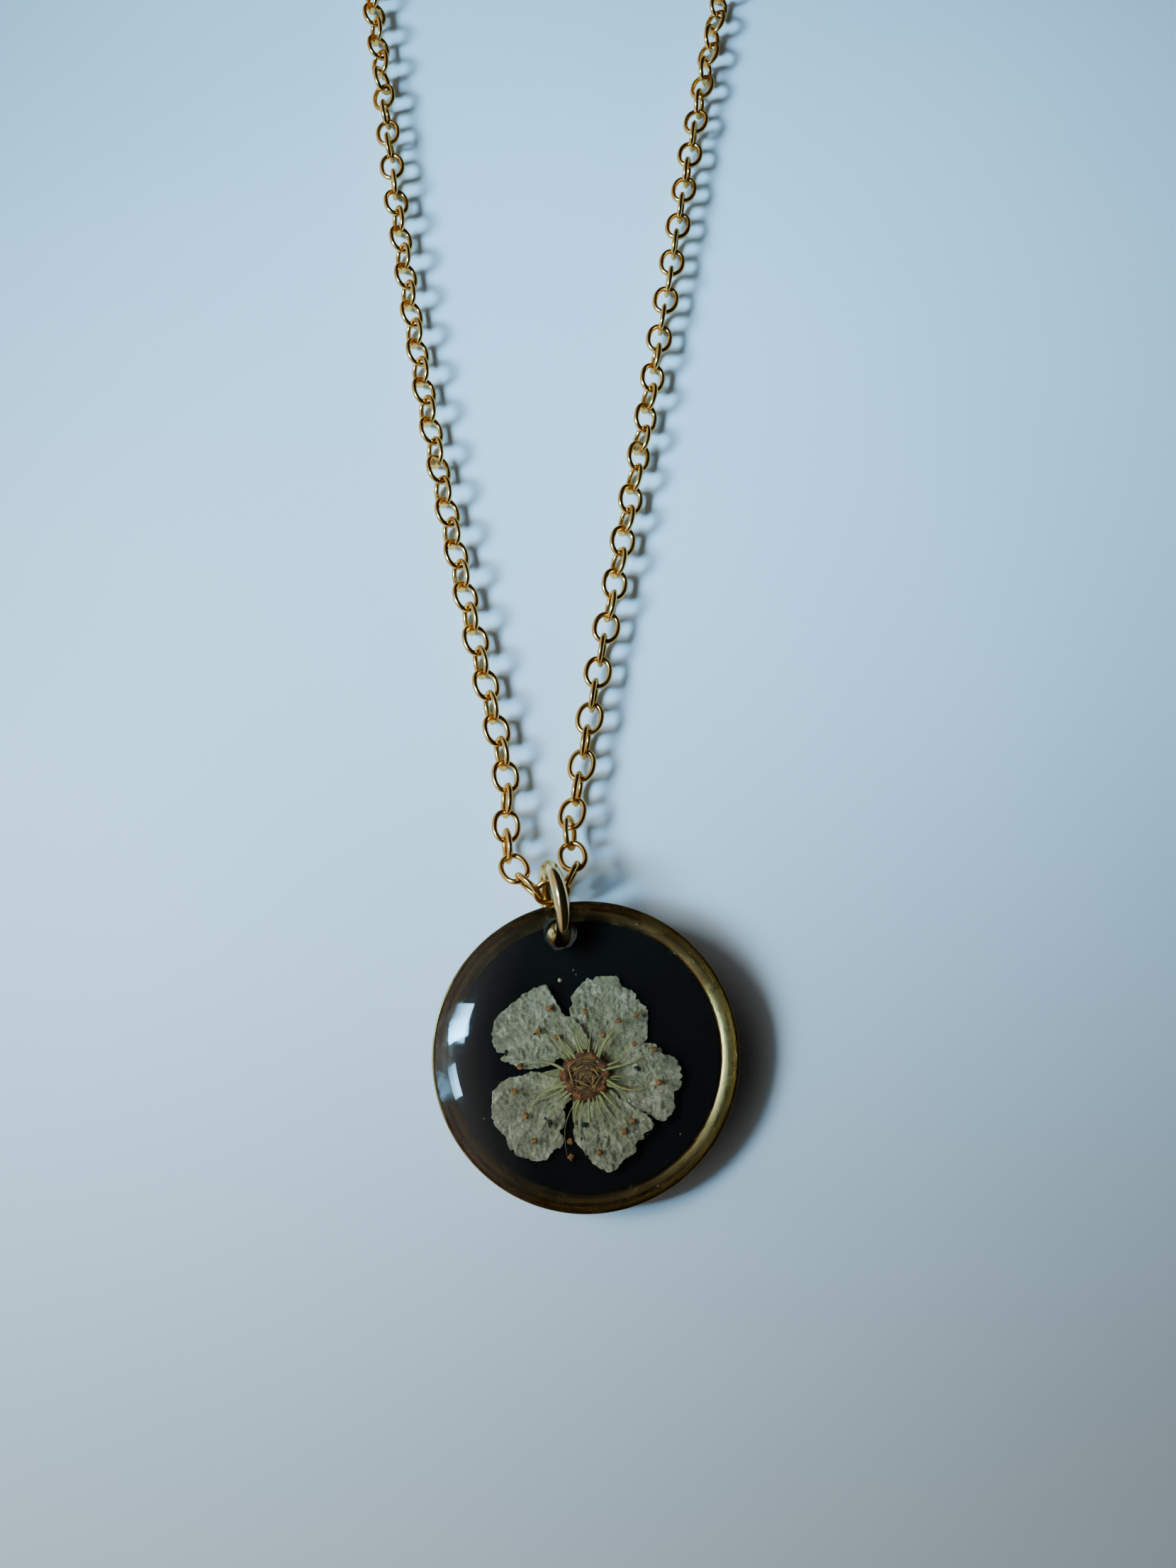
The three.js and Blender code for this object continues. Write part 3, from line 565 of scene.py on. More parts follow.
def cove(bottom, steps=12):
    """The bezel's curved inner wall, from a level up to the lip."""
    top = PENDANT_RADIUS - BEZEL_LIP
    result = []
    for k in range(steps + 1):
        level = bottom + (BEZEL_HEIGHT - bottom) * k / steps
        depth = (BEZEL_HEIGHT - level) / (BEZEL_HEIGHT - BEZEL_FLOOR)
        result.append((COVE_RADIUS + (top - COVE_RADIUS) * math.sqrt(1 - depth**2), level))
    return result


def dome(share):
    return BEZEL_HEIGHT + DOME_RISE * (1 - share**DOME_POWER)


def make_bezel(metal):
    lip = PENDANT_RADIUS - BEZEL_LIP
    outside = [(0, 0), (PENDANT_RADIUS, 0), (PENDANT_RADIUS, BEZEL_HEIGHT), (lip, BEZEL_HEIGHT)]
    profile = rounded(outside[:3], BEZEL_CORNER)[:-1] + rounded(outside[1:], LIP_CORNER)[1:]
    profile += cove(BEZEL_FLOOR)[::-1][1:] + [(0, BEZEL_FLOOR)]
    made = in_pendant("bezel_cup", turned(profile), "bezel_metal", metal, "bezel")
    bore(made, HOLE_RADIUS)
    sharpen(made)


def make_disc(material):
    radius = COVE_RADIUS - DISC_GAP
    disc = turned([(0, DISC_BOTTOM), (radius, DISC_BOTTOM), (radius, DISC_TOP), (0, DISC_TOP)])
    made = in_pendant("black_ground", disc, "black_disc", material, "backing_disc")
    bore(made, HOLE_RADIUS + DISC_CLEARANCE)
    sharpen(made)


def make_resin(material):
    """The cast reaches just into the disc and the cup, so that no air shows between them."""
    bottom = DISC_TOP - RESIN_SEAT
    wall = [(radius + RESIN_LAP, level) for radius, level in cove(bottom)[:-1]]
    rim = PENDANT_RADIUS - BEZEL_LIP + RESIN_LAP
    crown = [(rim * (1 - k / CROWN_RINGS), dome(1 - k / CROWN_RINGS)) for k in range(CROWN_RINGS + 1)]
    cast = turned([(0, bottom), *wall, *crown])
    made = in_pendant("resin_cast", cast, "clear_resin", material, "resin_dome")
    bore(made, HOLE_RADIUS)
    sharpen(made)


def smooth_edge(corners, steps):
    """Even points round the closed curve through the corners."""
    looped = [np.array(corners[k % len(corners)], float) for k in range(-3, len(corners) + 4)]
    line = curve_points(looped, 40 * len(looped))
    start = np.argmin(np.linalg.norm(line[: len(line) // 3] - looped[3], axis=1))
    after = len(line) * 2 // 3
    end = after + np.argmin(np.linalg.norm(line[after:] - looped[3], axis=1))
    line = line[start : end + 1]
    return spaced(line, steps)[:-1]


def travel(line):
    """Distance from a line's start to each of its points."""
    return np.concatenate([[0], np.cumsum(np.linalg.norm(np.diff(line, axis=0), axis=1))])


def spaced(line, count):
    """Points along a line, a number of equal steps apart."""
    travelled = travel(line)
    wanted = np.linspace(0, travelled[-1], count + 1)
    return np.stack([np.interp(wanted, travelled, column) for column in line.T], axis=1)


def curve_points(points, count):
    """Points along the centripetal Catmull-Rom curve through some points."""
    first = 2 * points[0] - points[1]
    last = 2 * points[-1] - points[-2]
    knots = np.array([first, *points, last])
    place = np.linspace(0, len(points) - 1, count + 1)
    index = np.minimum(place.astype(int), len(points) - 2)
    share = (place - index)[:, None]
    p0, p1, p2, p3 = (knots[index + k] for k in range(4))
    pairs = ((p0, p1), (p1, p2), (p2, p3))
    d0, d1, d2 = (np.linalg.norm(b - a, axis=1, keepdims=True) ** 0.5 for a, b in pairs)
    start = ((p1 - p0) / d0 - (p2 - p0) / (d0 + d1) + (p2 - p1) / d1) * d1
    end = ((p2 - p1) / d1 - (p3 - p1) / (d1 + d2) + (p3 - p2) / d2) * d1
    square = (-3 * p1 + 3 * p2 - 2 * start - end) * share**2
    return p1 + start * share + square + (2 * p1 - 2 * p2 + start + end) * share**3


def crinkle(x, y, seed, along):
    """Height of a dried petal's folds, blisters and the ridges that fan out along it."""
    out = x * along[0] + y * along[1]
    fan = (y * along[0] - x * along[1]) / (0.9 + 0.5 * abs(out))
    ridges = noise.fractal(Vector((out * 0.9, fan * 6.5, seed + 31)), 0.8, 2.0, 3)
    folds = noise.fractal(Vector((x * 0.55, y * 0.55, seed)), 1.0, 2.0, 3)
    creases = noise.ridged_multi_fractal(Vector((x * 1.5, y * 1.5, seed + 7)), 1.0, 2.1, 3, 1.0, 2.0)
    grain = noise.fractal(Vector((x * 4.2, y * 4.2, seed + 3)), 0.8, 2.0, 2)
    near = noise.voronoi(Vector((x * 1.9, y * 1.9, seed + 11)))[0][0]
    blister = max(0.0, 1 - (near / 0.34) ** 2)
    broad = FOLD_HEIGHT * folds + CREASE_HEIGHT * (creases - 1.2)
    return broad + GRAIN_HEIGHT * grain + BLISTER_HEIGHT * blister + RIDGE_HEIGHT * ridges


def make_petal(name, material):
    """A sheet with the petal's torn, scalloped edge, crinkled alike on both faces."""
    base_level, direction, outline = PETALS[name]
    seed = 13.7 * list(PETALS).index(name)
    edge = smooth_edge(outline, PETAL_STEPS) * RESIN_SHRINK
    middle = edge.mean(axis=0)
    outward = edge - middle
    outward /= np.linalg.norm(outward, axis=1, keepdims=True)
    ragged = [
        0.08 * noise.fractal(Vector((x * 2.3, y * 2.3, seed)), 0.6, 2.2, 4)
        + 0.05 * noise.noise(Vector((x * 4.0, y * 4.0, seed + 9)))
        - 0.3 * max(0.0, noise.noise(Vector((x * 3.1, y * 3.1, seed + 5))) - 0.2)
        for x, y in edge
    ]
    edge = edge + outward * np.array(ragged)[:, None]
    turn = direction * DEGREE
    along = np.array([math.cos(turn), math.sin(turn)])
    flat = [middle]
    for ring in range(1, PETAL_RINGS + 1):
        share = (ring / PETAL_RINGS) ** 0.9
        flat.extend(middle + (edge - middle) * share)
    flat = np.array(flat)
    rim_lift = np.concatenate([[0], np.repeat(np.linspace(0, 1, PETAL_RINGS) ** 6, PETAL_STEPS)])
    top = []
    for (x, y), lift in zip(flat, rim_lift):
        curl = 0.1 * lift * noise.noise(Vector((x * 0.9, y * 0.9, seed + 21)))
        top.append(base_level + crinkle(x, y, seed, along) + curl)
    thin = PETAL_THICKNESS * (1 - 0.75 * rim_lift)
    layer = len(flat)
    upper = np.column_stack([flat + np.array(BLOSSOM.xy), top])
    lower = np.column_stack([flat + np.array(BLOSSOM.xy), np.array(top) - thin])
    faces = fan_and_bands(PETAL_STEPS, PETAL_RINGS - 1)
    faces += [tuple(i + layer for i in reversed(face)) for face in faces]
    rim = 1 + (PETAL_RINGS - 1) * PETAL_STEPS
    for k in range(PETAL_STEPS):
        after = (k + 1) % PETAL_STEPS
        faces.append((rim + after, rim + k, rim + k + layer, rim + after + layer))
    clockwise = np.cross(edge, np.roll(edge, -1, axis=0)).sum() < 0
    if clockwise:
        faces = [tuple(reversed(face)) for face in faces]
    part = (np.concatenate([upper, lower]), faces)
    made = in_pendant(f"{name}_sheet", part, "petals", material, name)
    layout = made.data.uv_layers.new(name="petal")
    across = np.array([-along[1], along[0]])
    sheet = np.column_stack([flat @ along / 7, flat @ across / (0.9 + np.abs(flat @ along) * 0.5)])
    sheet = np.concatenate([sheet, sheet])
    corners = np.zeros(len(made.data.loops), int)
    made.data.loops.foreach_get("vertex_index", corners)
    layout.data.foreach_set("uv", sheet[corners].ravel())


def bar(path, radii, sides=6, flatten=1.0):
    """A closed round bar along a path, with a radius at each point."""
    path = np.asarray(path, float)
    ahead = np.gradient(path, axis=0)
    ahead /= np.linalg.norm(ahead, axis=1, keepdims=True)
    side = np.cross(ahead[0], (0.1, 0.2, 1.0))
    points = [tuple(path[0])]
    for here, direction, radius in zip(path, ahead, radii):
        side = side - direction * (side @ direction)
        side /= np.linalg.norm(side)
        lift = np.cross(side, direction)
        for k in range(sides):
            turn = 2 * math.pi * k / sides
            points.append(tuple(here + radius * (math.cos(turn) * side + flatten * math.sin(turn) * lift)))
    points.append(tuple(path[-1]))
    count = len(path)
    faces = []
    for k in range(sides):
        after = (k + 1) % sides
        faces.append((0, 1 + after, 1 + k))
        for row in range(count - 1):
            low = 1 + row * sides
            high = low + sides
            faces.append((low + k, low + after, high + after, high + k))
        end = 1 + (count - 1) * sides
        faces.append((end + k, end + after, len(points) - 1))
    return points, faces


def lump(centre, size, seed, detail=2, rough=0.25):
    """A small closed body with an uneven surface: size is its half length on each axis."""
    mesh = bmesh.new()
    bmesh.ops.create_icosphere(mesh, subdivisions=detail, radius=1)
    points = []
    for vertex in mesh.verts:
        swell = 1 + rough * noise.fractal(vertex.co * 1.4 + Vector((seed, 0, 0)), 0.8, 2.0, 2)
        points.append(tuple(Vector(centre) + Vector(v * s * swell for v, s in zip(vertex.co, size))))
    faces = [tuple(v.index for v in face.verts) for face in mesh.faces]
    mesh.free()
    return points, faces


def turn_about(part, centre, angle):
    """A (points, faces) turned about the vertical through a point."""
    points, faces = part
    spin = Matrix.Translation(centre) @ Matrix.Rotation(angle, 4, "Z") @ Matrix.Translation(-Vector(centre))
    return [tuple(spin @ Vector(p)) for p in points], faces


def from_blossom(out, aside, angle):
    """The point that lies out from the blossom's middle in a direction, and aside of it."""
    x = BLOSSOM.x + out * math.cos(angle) - aside * math.sin(angle)
    y = BLOSSOM.y + out * math.sin(angle) + aside * math.cos(angle)
    return x, y


def measured(x, y, level):
    """Where a spot lies that was measured through the resin."""
    return BLOSSOM.x + x * RESIN_SHRINK, BLOSSOM.y + y * RESIN_SHRINK, level


def filament(turn, reach, thick, chance, level=STAMEN_LEVEL):
    """A thread from the centre out over the petals, bent a little to one side."""
    length = reach - FILAMENT_START
    bend = chance.uniform(-0.8, 0.8)
    path = []
    for k in range(FILAMENT_POINTS):
        share = k / (FILAMENT_POINTS - 1)
        out = FILAMENT_START + length * share
        aside = bend * math.sin(math.pi * share) * length / 4
        lift = 0.04 * math.sin(math.pi * share) - FILAMENT_DROP * share
        path.append((*from_blossom(out, aside, turn * DEGREE), level + lift))
    return bar(path, thick * (0.3 + 1.1 * np.linspace(1, 0, FILAMENT_POINTS) ** 1.6), 8, 0.35)


def make_stamens(thread, anther):
    chance = random.Random(5)
    threads = []
    heads = []
    for turn, reach in STAMENS:
        threads.append(filament(turn, reach, chance.uniform(0.05, 0.1), chance))
        centre = (*from_blossom(reach, 0, turn * DEGREE), STAMEN_LEVEL - ANTHER_DROP)
        heads.append(anther_lobes(centre, chance))
    for turn, reach, thick in BARE_FILAMENTS:
        threads.append(filament(turn, reach, thick, chance, STAMEN_LEVEL - 0.05))
    for x, y in LOOSE_ANTHERS:
        heads.append(anther_lobes(measured(x, y, LOOSE_LEVEL), chance))
    in_pendant("filaments", joined(threads), "stamens", thread, "stamens")
    in_pendant("anthers", joined(heads), "stamens", anther)


def anther_lobes(centre, chance):
    """The two lobes of one anther, turned any way."""
    lobes = []
    for side in (-1, 1):
        place = (centre[0], centre[1] + side * 0.065, centre[2] - 0.03)
        size = (chance.uniform(0.16, 0.21), 0.12, 0.08)
        lobes.append(lump(place, size, chance.uniform(0, 50), 3, 0.45))
    return turn_about(joined(lobes), centre, chance.uniform(0, math.pi))


def make_centre(nectary, fibre, dark_fibre):
    """The dried cup: a lumpy rim round a hollow, under a tangle of bent stalks."""
    steps, rings = 150, 30
    points = [(BLOSSOM.x, BLOSSOM.y, CUP_LEVEL)]
    for ring in range(1, rings + 1):
        share = ring / rings
        for k in range(steps):
            turn = 2 * math.pi * k / steps
            lobes = 0.5 + 0.5 * math.cos(10 * turn + 0.7 * math.sin(3 * turn))
            wave = noise.noise(Vector((2 * math.cos(turn), 2 * math.sin(turn), 0)))
            radius = CENTRE_RADIUS * share * (1 + 0.06 * share * wave + 0.025 * lobes)
            x, y = radius * math.cos(turn), radius * math.sin(turn)
            swell = math.exp(-(((share - 0.74) / 0.2) ** 2)) * (0.2 + 0.12 * lobes)
            drop = 0.32 * max(0.0, (share - 0.84) / 0.16) ** 2
            grain = 0.06 * noise.fractal(Vector((x * 3.2, y * 3.2, 2)), 0.8, 2.0, 3)
            points.append((BLOSSOM.x + x, BLOSSOM.y + y, CUP_LEVEL + swell - drop + grain))
    floor = len(points)
    points.extend((x, y, CUP_FOOT) for x, y, _ in points[1 + (rings - 1) * steps :])
    faces = fan_and_bands(steps, rings)
    faces.append(tuple(floor + k for k in reversed(range(steps))))
    in_pendant("flower_cup", (points, faces), "flower_centre", nectary, "flower_centre")
    chance = random.Random(11)
    for name, material, count in (("centre_fibres", fibre, 60), ("dark_fibres", dark_fibre, 40)):
        fibres = [centre_fibre(chance) for _ in range(count)]
        in_pendant(name, joined(fibres), "flower_centre", material)


def centre_fibre(chance):
    """One bent stalk that lies across the cup."""
    turn = chance.gauss(8, 34) * DEGREE
    half = chance.uniform(0.3, 1.05)
    aside = chance.uniform(-1.15, 1.15)
    bow = chance.uniform(-0.25, 0.25)
    crest = chance.uniform(0.03, 0.2)
    path = []
    for k in range(9):
        share = k / 8 * 2 - 1
        x, y = share * half, aside + bow * (1 - share**2)
        out = math.hypot(x, y)
        squeeze = min(1.0, 1.55 / max(out, 0.01))
        x, y = x * squeeze, y * squeeze
        level = CENTRE_TOP - 0.34 + crest * (1 - share**2) - 0.08 * (out / CENTRE_RADIUS) ** 2
        path.append((*from_blossom(x, y, turn), level))
    thick = chance.uniform(0.035, 0.085)
    return bar(path, [thick * (0.55 + 0.45 * math.sin(math.pi * (k + 0.5) / 9)) for k in range(9)], 6)


def make_calyx(material):
    """Pointed sepals that show between the petals, dried and curled."""
    sepals = []
    for index, turn in enumerate(SEPAL_TURNS):
        angle = turn * DEGREE
        points = []
        steps = 22
        for k in range(steps + 1):
            share = k / steps
            out = 0.7 + 2.3 * share
            half = 0.62 * (1 - share) ** 0.75 + 0.02
            for j in range(7):
                side = (j / 6 * 2 - 1) * half
                ripple = noise.noise(Vector((out * 2, side * 3, index * 5)))
                level = SEPAL_LEVEL + 0.06 * ripple + 0.1 * (side / 0.6) ** 2
                points.append((*from_blossom(out, side, angle), level))
        layer = len(points)
        points.extend([(x, y, level - SEPAL_THICKNESS) for x, y, level in points])
        faces = []
        for k in range(steps):
            for j in range(6):
                a = k * 7 + j
                faces.append((a, a + 7, a + 8, a + 1))
                faces.append((a + layer, a + 1 + layer, a + 8 + layer, a + 7 + layer))
        border = [k * 7 for k in range(steps + 1)] + [steps * 7 + j for j in range(1, 7)]
        border += [k * 7 + 6 for k in range(steps - 1, -1, -1)] + [j for j in range(5, 0, -1)]
        for a, b in zip(border, border[1:] + border[:1]):
            faces.append((a, b, b + layer, a + layer)[::-1])
        sepals.append((points, faces))
    in_pendant("sepals_sheet", joined(sepals), "sepals", material, "calyx")


def make_specks(dark, bubble_glint):
    chance = random.Random(3)
    bits = []
    for x, y, size in BLACK_BITS:
        centre = measured(x, y, BITS_LEVEL)
        bit = lump(centre, (size * 1.4, size * 0.8, 0.06), chance.uniform(0, 50), 3, 0.9)
        bits.append(turn_about(bit, centre, chance.uniform(0, math.pi)))
    in_pendant("black_bits", joined(bits), "flower_centre", dark)
    drops = []
    # Each bubble is an opaque lump whose colour paints its glint
    for x, y, size in BUBBLES:
        centre = Vector(measured(x, y, 0))
        level = BUBBLE_LEVEL if centre.length < COVE_RADIUS else RIM_BUBBLE_LEVEL
        drops.append(lump((centre.x, centre.y, level), (size, size, size * 0.7), 0, 2, 0.15))
    in_pendant("air_bubbles_painted_glint", joined(drops), "clear_resin", bubble_glint)


def make_hole_edge(material):
    """The chipped wall and edge that the drill left in the resin, coloured mostly as painted shade of the
    hole's inside.
    """
    steps = 120
    points = []
    for k in range(steps):
        turn = 2 * math.pi * k / steps
        outward = Vector((math.cos(turn), math.sin(turn), 0))
        chip = 0.5 + 0.5 * noise.fractal(outward * 2.3, 0.6, 2.2, 4)
        wide = max(0.03, 0.3 * chip * (0.2 + 0.8 * (0.5 - 0.5 * math.cos(turn - 0.6))))
        step = 0.06 + 0.1 * abs(noise.noise(outward * 3.7 + UP * 4))
        brim = hole_centre + outward * (HOLE_RADIUS + wide)
        top = dome(min(brim.length / (PENDANT_RADIUS - BEZEL_LIP), 1))
        wall = HOLE_RADIUS - 0.03 - 0.03 * abs(noise.noise(outward * 5 + UP * 9))
        section = [
            (HOLE_RADIUS + wide, top - 0.05),
            (HOLE_RADIUS + wide * 0.9, top + 0.015),
            (HOLE_RADIUS + wide * 0.45, top - step * 0.4),
            (HOLE_RADIUS, top - step),
            (wall, top - step * 2),
            (wall, 1.6),
            (wall + 0.01, DISC_TOP),
            (HOLE_RADIUS + 0.01, DISC_TOP),
            (HOLE_RADIUS + 0.01, top - 0.3),
        ]
        for out, level in section:
            foot = hole_centre + outward * out
            points.append((foot.x, foot.y, level))
    faces = [(a, d, c, b) for a, b, c, d in wrapped_grid(steps, len(points) // steps)]
    in_pendant("hole_edge", (points, faces), "clear_resin", material)


def ring(name, centre, along, upward, radius, wire, material, node, steps=144, sides=24, seam=4.4):
    """A round-wire ring with the fine cut where its ends meet."""
    turns = [2 * math.pi * k / steps for k in range(steps)]
    turns = sorted(turns + [seam + shift for shift in (-0.012, -0.006, 0, 0.006, 0.012)])
    points = []
    for turn in turns:
        groove = 0.93 if abs(turn - seam) < 0.008 else 1.0
        for k in range(sides):
            roll = 2 * math.pi * k / sides
            out = radius + wire * groove * math.cos(roll)
            local = (out * math.cos(turn), out * math.sin(turn), wire * groove * math.sin(roll))
            points.append(local)
    faces = wrapped_grid(len(turns), sides)
    place = Matrix.Identity(4)
    for column, axis in enumerate((along, upward, along.cross(upward))):
        place.col[column] = (*axis, 0)
    place.translation = centre
    piece(name, points, faces, "necklace", "chain_metal", material, node, place=place)


def link_shape():
    """One oval link about the origin, long along X and flat in XY, of round wire."""
    half_length = LINK_LENGTH / 2 - LINK_WIRE
    half_width = LINK_WIDTH / 2 - LINK_WIRE
    power = 2 / LINK_SQUARENESS
    path = []
    for k in range(LINK_STEPS):
        turn = 2 * math.pi * k / LINK_STEPS
        x = half_length * math.copysign(abs(math.cos(turn)) ** power, math.cos(turn))
        y = half_width * math.copysign(abs(math.sin(turn)) ** power, math.sin(turn))
        path.append((x, y))
    path = np.array(path)
    ahead = np.roll(path, -1, axis=0) - np.roll(path, 1, axis=0)
    ahead /= np.linalg.norm(ahead, axis=1, keepdims=True)
    outward = np.column_stack([ahead[:, 1], -ahead[:, 0]])
    points = []
    for here, out in zip(path, outward):
        for j in range(WIRE_SIDES):
            roll = 2 * math.pi * j / WIRE_SIDES
            flat = here + out * LINK_WIRE * math.cos(roll)
            points.append((flat[0], flat[1], LINK_WIRE * math.sin(roll)))
    return points, wrapped_grid(LINK_STEPS, WIRE_SIDES)


def between(table, distance):
    for (start, low), (end, high) in zip(table, table[1:]):
        if distance <= end:
            share = min(max((distance - start) / (end - start), 0), 1)
            return low + (high - low) * share * share * (3 - 2 * share)
    return table[-1][1]


def lay_height(twist):
    side = LINK_WIDTH / 2 - LINK_WIRE
    steeper = abs((twist + 45) % 90 - 45)
    return side * math.sin((45 + steeper) * DEGREE) + LINK_SECTION


def strand(start, route, twist, end):
    """Place and roll of each link from the jump ring to the clasp, as the solids have them."""
    distance = 0
    before = start[0].xy
    surface = []
    for corner in route:
        here = (TABLE @ Vector((*corner, 0))).xy
        distance += (here - before).length
        before = here
        surface.append(TABLE @ Vector((*corner, lay_height(between(twist, distance)))))
    knots = [np.array(p) for p in (*start, *surface, *end)]
    line = curve_points(knots, 2000)
    count = round(travel(line)[-1] / LINK_PITCH)
    joints = [Vector(p) for p in spaced(line, count)]
    last = count - 1
    rope = [45 if i % 2 == 0 else -45 for i in range(count)]
    table = [*twist, ((last - FLATTENING_LINKS) * LINK_PITCH, 0), (last * LINK_PITCH, -rope[last])]
    links = []
    for i, (a, b) in enumerate(zip(joints, joints[1:])):
        roll = between(table, i * LINK_PITCH) + rope[i]
        links.append({"centre": (a + b) / 2, "direction": (b - a).normalized(), "roll": roll * DEGREE})
    return links


def loosen(links):
    """Moves a stretch's end links out along their own lines, as the solids have them."""
    links[0]["centre"] = links[0]["centre"] - links[0]["direction"] * STRETCH_SLACK
    links[-1]["centre"] = links[-1]["centre"] + links[-1]["direction"] * STRETCH_SLACK


def chain_piece(name, links, material, node, chance):
    """A stretch of round-wire links, each rolled a little off its neighbours' lay."""
    shape, shape_faces = link_shape()
    shape = np.array(shape)
    parts = []
    for link in links:
        direction = link["direction"]
        side = UP.cross(direction).normalized()
        normal = direction.cross(side)
        stray = chance.gauss(0, LINK_STRAY) * DEGREE
        roll = Matrix.Rotation(link["roll"] + stray, 3, "X")
        turn = Matrix((direction, side, normal)).transposed() @ roll
        points = shape @ np.array(turn).T + np.array(link["centre"])
        parts.append((points.tolist(), shape_faces))
    piece(name, *joined(parts), "necklace", "chain_metal", material, node)


def near_ring(across, outward, rise):
    return ring_centre + ACROSS_HOLE * across + HOLE_DIRECTION * outward + UP * rise


def make_chain(material):
    chance = random.Random(21)
    half = LINK_PITCH / 2
    from_point, to_point = near_ring(-half, 0.95, -0.35), near_ring(half, 0.95, -0.25)
    tail = TAIL_RING["x"] - TAIL_RING["radius"]
    hook = HOOK_RING["x"] + HOOK_RING["radius"]
    left_end = [CLASP @ Vector((tail - 5, -0.9, 1)), CLASP @ Vector((tail + 0.62, 0, 1.55))]
    right_end = [CLASP @ Vector((hook + 5, -0.9, 1)), CLASP @ Vector((hook - 0.72, 0, 1.7))]
    left_start = [from_point, near_ring(-1.95, 2.45, -0.6), near_ring(-2.4, 4.4, -1.3)]
    right_start = [to_point, near_ring(2.0, 2.4, -0.5), near_ring(1.9, 4.4, -1.2)]
    strands = {
        "left": strand(left_start, LEFT_ROUTE, LEFT_TWIST, left_end),
        "right": strand(right_start, RIGHT_ROUTE, RIGHT_TWIST, right_end),
    }
    middle = (from_point + to_point) / 2
    across = (to_point - from_point).normalized()
    bight = [{"centre": middle, "direction": across, "roll": 45 * DEGREE}]
    for links in strands.values():
        near = links[:BIGHT_LINKS]
        near[-1]["centre"] = near[-1]["centre"] + near[-1]["direction"] * STRETCH_SLACK
        bight.extend(near)
    chain_piece("links_bight", bight, material, "chain_bight", chance)
    for side, links in strands.items():
        rest = links[BIGHT_LINKS:]
        count = math.ceil(len(rest) / STRETCH_LINKS)
        for k in range(count):
            start = math.floor(k * len(rest) / count + 0.5)
            end = math.floor((k + 1) * len(rest) / count + 0.5)
            stretch = rest[start:end]
            loosen(stretch)
            chain_piece(f"links_{side}_{k + 1}", stretch, material, f"chain_{side}_{k + 1}", chance)


def softened(name, node, body, material, voxel_mm, rounds):
    """A cast piece with the node's form, its edges rounded."""
    made = placed(name, frame["nodes"][node].data.copy())
    made.data.materials.clear()
    made.data.materials.append(material)
    remesh = made.modifiers.new("even", "REMESH")
    remesh.mode = "VOXEL"
    remesh.voxel_size = voxel_mm * MM
    smooth = made.modifiers.new("round", "SMOOTH")
    smooth.factor = 0.5
    smooth.iterations = rounds
    bake(made)
    made.data.polygons.foreach_set("use_smooth", [True] * len(made.data.polygons))
    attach(made, body)
    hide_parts(node)


def make_clasp(material):
    softened("clasp_cast", "clasp_body", "necklace", material, 0.07, 6)
    softened("trigger_cast", "clasp_trigger", "clasp_trigger", material, 0.05, 4)
    along = (CLASP.to_3x3() @ Vector((1, 0, 0))).normalized()
    for name, spec in (("clasp_ring_tail", TAIL_RING), ("clasp_ring_hook", HOOK_RING)):
        centre = CLASP @ Vector((spec["x"], 0, spec["radius"] + spec["wire"]))
        ring(f"{name}_wire", centre, along, UP, spec["radius"], spec["wire"], material, name, 96, 20, 1.1)


def make_camera():
    data = bpy.data.cameras.new("camera")
    data.sensor_width = SENSOR_MM
    data.lens = FOCAL_PIXELS / PHOTO_HEIGHT * data.sensor_width
    data.clip_start = 0.001
    camera = placed("camera", data)
    place = Matrix.Translation((pendant_middle + CAMERA_PLACE) * MM)
    camera.matrix_world = place @ Matrix.Rotation(CAMERA_LEAN, 4, "X")
    bpy.context.scene.camera = camera


def area_light(name, azimuth, elevation, size, power, colour, aim, spread, mirrored):
    """A soft light at the window. It shows in shiny surfaces alone, or lights the matt ones alone."""
    turn = azimuth * DEGREE
    rise = elevation * DEGREE
    away = Vector((math.cos(rise) * math.cos(turn), math.cos(rise) * math.sin(turn), math.sin(rise)))
    data = bpy.data.lights.new(name, "AREA")
    data.shape = "RECTANGLE"
    data.size, data.size_y = size
    data.energy = power
    data.color = colour
    data.spread = spread
    light = placed(name, data)
    light.location = pendant_middle * MM + away * WINDOW_DISTANCE
    light.rotation_mode = "QUATERNION"
    light.rotation_quaternion = (light.location - (pendant_middle + aim) * MM).to_track_quat("Z", "Y")
    light.visible_camera = False
    light.visible_glossy = mirrored
    light.visible_diffuse = not mirrored


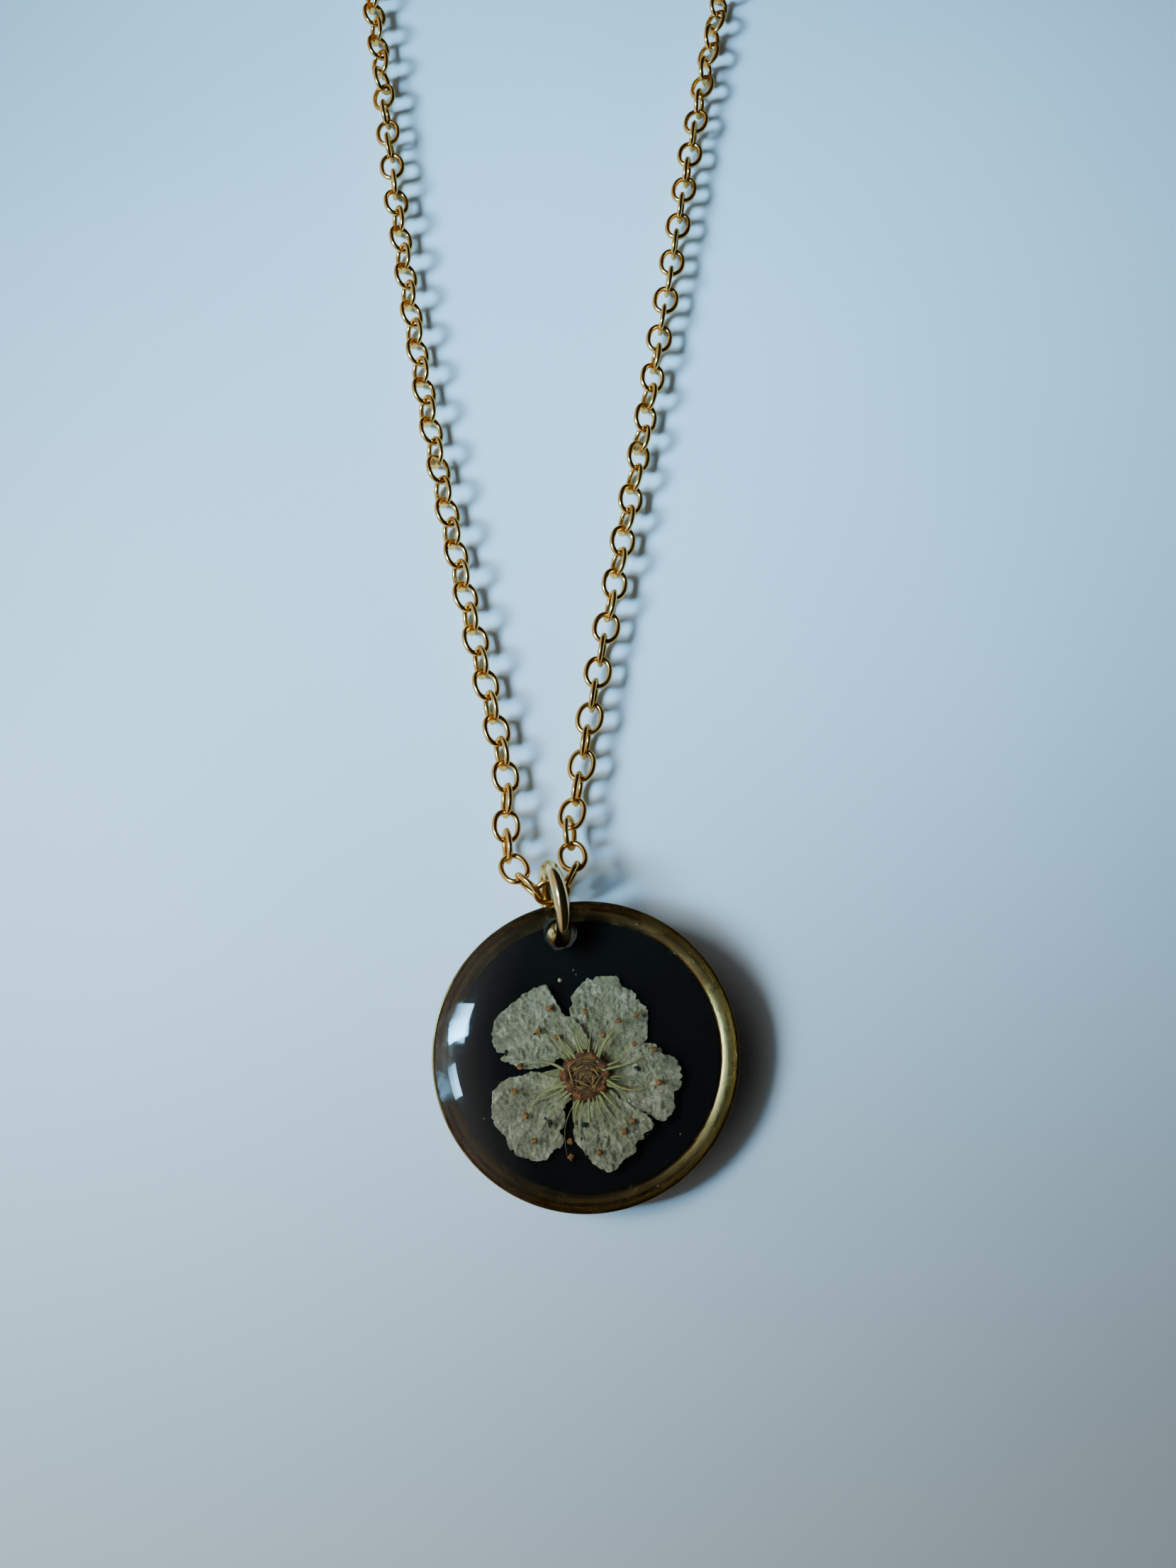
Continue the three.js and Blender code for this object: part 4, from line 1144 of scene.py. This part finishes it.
def make_stage():
    far = FLOOR_REACH
    points = [(-far, -far, 0), (far, -far, 0), (far, far, 0), (-far, far, 0)]
    mesh = bpy.data.meshes.new("floor")
    mesh.from_pydata([Vector(p) * MM for p in points], [], [(0, 1, 2, 3)])
    floor = placed("floor", mesh)
    mesh.materials.append(floor_material())
    world = bpy.data.worlds.new("room")
    bpy.context.scene.world = world
    world.use_nodes = True
    tree = world.node_tree
    away = add_node(tree, "ShaderNodeTexCoord").outputs["Generated"]
    split = add_node(tree, "ShaderNodeSeparateXYZ", {"Vector": away})
    side = add_node(tree, "ShaderNodeMapRange", {"Value": split.outputs["X"], "From Min": -1}).outputs[0]
    ray = add_node(tree, "ShaderNodeLightPath").outputs
    # The camera sees the room's light end behind the floor, whichever way it looks
    sides = {0: side, 1: ray["Is Camera Ray"]}
    seen = add_node(tree, "ShaderNodeMath", sides, operation="SUBTRACT", use_clamp=True)
    room = add_node(tree, "ShaderNodeValToRGB", {"Fac": seen.outputs[0]})
    fill_ramp(room.color_ramp.elements, [(p, (v, v * 0.97, v * 0.92)) for p, v in ROOM_LIGHT])
    share = {"Value": ray["Is Diffuse Ray"], "To Min": 1, "To Max": MATT_SHARE}
    fainter = add_node(tree, "ShaderNodeMapRange", share)
    background = tree.nodes["Background"].inputs
    tree.links.new(room.outputs["Color"], background["Color"])
    tree.links.new(fainter.outputs[0], background["Strength"])
    for name, spec in LIGHTS.items():
        area_light(name, *spec)


make_camera()
make_stage()
# The bezel's gold is about a third as bright as the chain's: painted shade that dims the reflections in its
# band
bezel_gold_painted_shade = gold("bezel_gold_painted_shade", (0.22, 0.112, 0.036), (0.34, 0.175, 0.056), 0.26, 0.002)
chain_gold = gold("chain_gold", (0.68, 0.325, 0.085), (0.92, 0.475, 0.14), 0.2, 0.008)
ring_gold = gold("ring_gold", (0.62, 0.43, 0.19), (0.84, 0.62, 0.3), 0.17, 0.006)
make_bezel(bezel_gold_painted_shade)
make_disc(disc_material())
make_resin(resin_material())
petals = petal_material()
for name in PETALS:
    make_petal(name, petals)
make_calyx(dried("sepals", [(0.3, (0.06, 0.04, 0.012)), (0.7, (0.24, 0.16, 0.05))], 5))
make_centre(
    dried(
        "flower_cup",
        [(0.34, (0.016, 0.005, 0.0012)), (0.48, (0.075, 0.018, 0.0028)), (0.64, (0.23, 0.06, 0.009))],
        2.6,
        depth_mm=0.12,
    ),
    dried("centre_fibres", [(0.32, (0.05, 0.017, 0.003)), (0.65, (0.25, 0.11, 0.02))], 1.6),
    dried("dark_fibres", [(0.3, (0.03, 0.01, 0.0025)), (0.7, (0.12, 0.042, 0.01))], 2.5),
)
make_stamens(
    dried("filaments", [(0.3, (0.13, 0.092, 0.025)), (0.7, (0.29, 0.21, 0.062))], 2.0),
    dried(
        "anthers",
        [(0.3, (0.07, 0.02, 0.004)), (0.55, (0.2, 0.066, 0.012)), (0.75, (0.36, 0.14, 0.028))],
        4,
    ),
)
make_specks(
    dried("black_bits", [(0.3, (0.006, 0.004, 0.002)), (0.7, (0.018, 0.011, 0.006))], 9),
    # The bubbles are opaque specks whose pale colour is a painted glint
    dried("air_bubbles_painted_glint", [(0.35, (0.03, 0.02, 0.01)), (0.65, (0.34, 0.24, 0.13))], 9, 0.15),
)
make_hole_edge(hole_chips_and_painted_shade_material())
upward = Matrix.Rotation(RING_LEAN, 3, HOLE_DIRECTION) @ UP
ring(
    "jump_ring_wire", ring_centre, HOLE_DIRECTION, upward, RING_RADIUS, RING_WIRE, ring_gold, "jump_ring"
)
make_chain(chain_gold)
make_clasp(chain_gold)
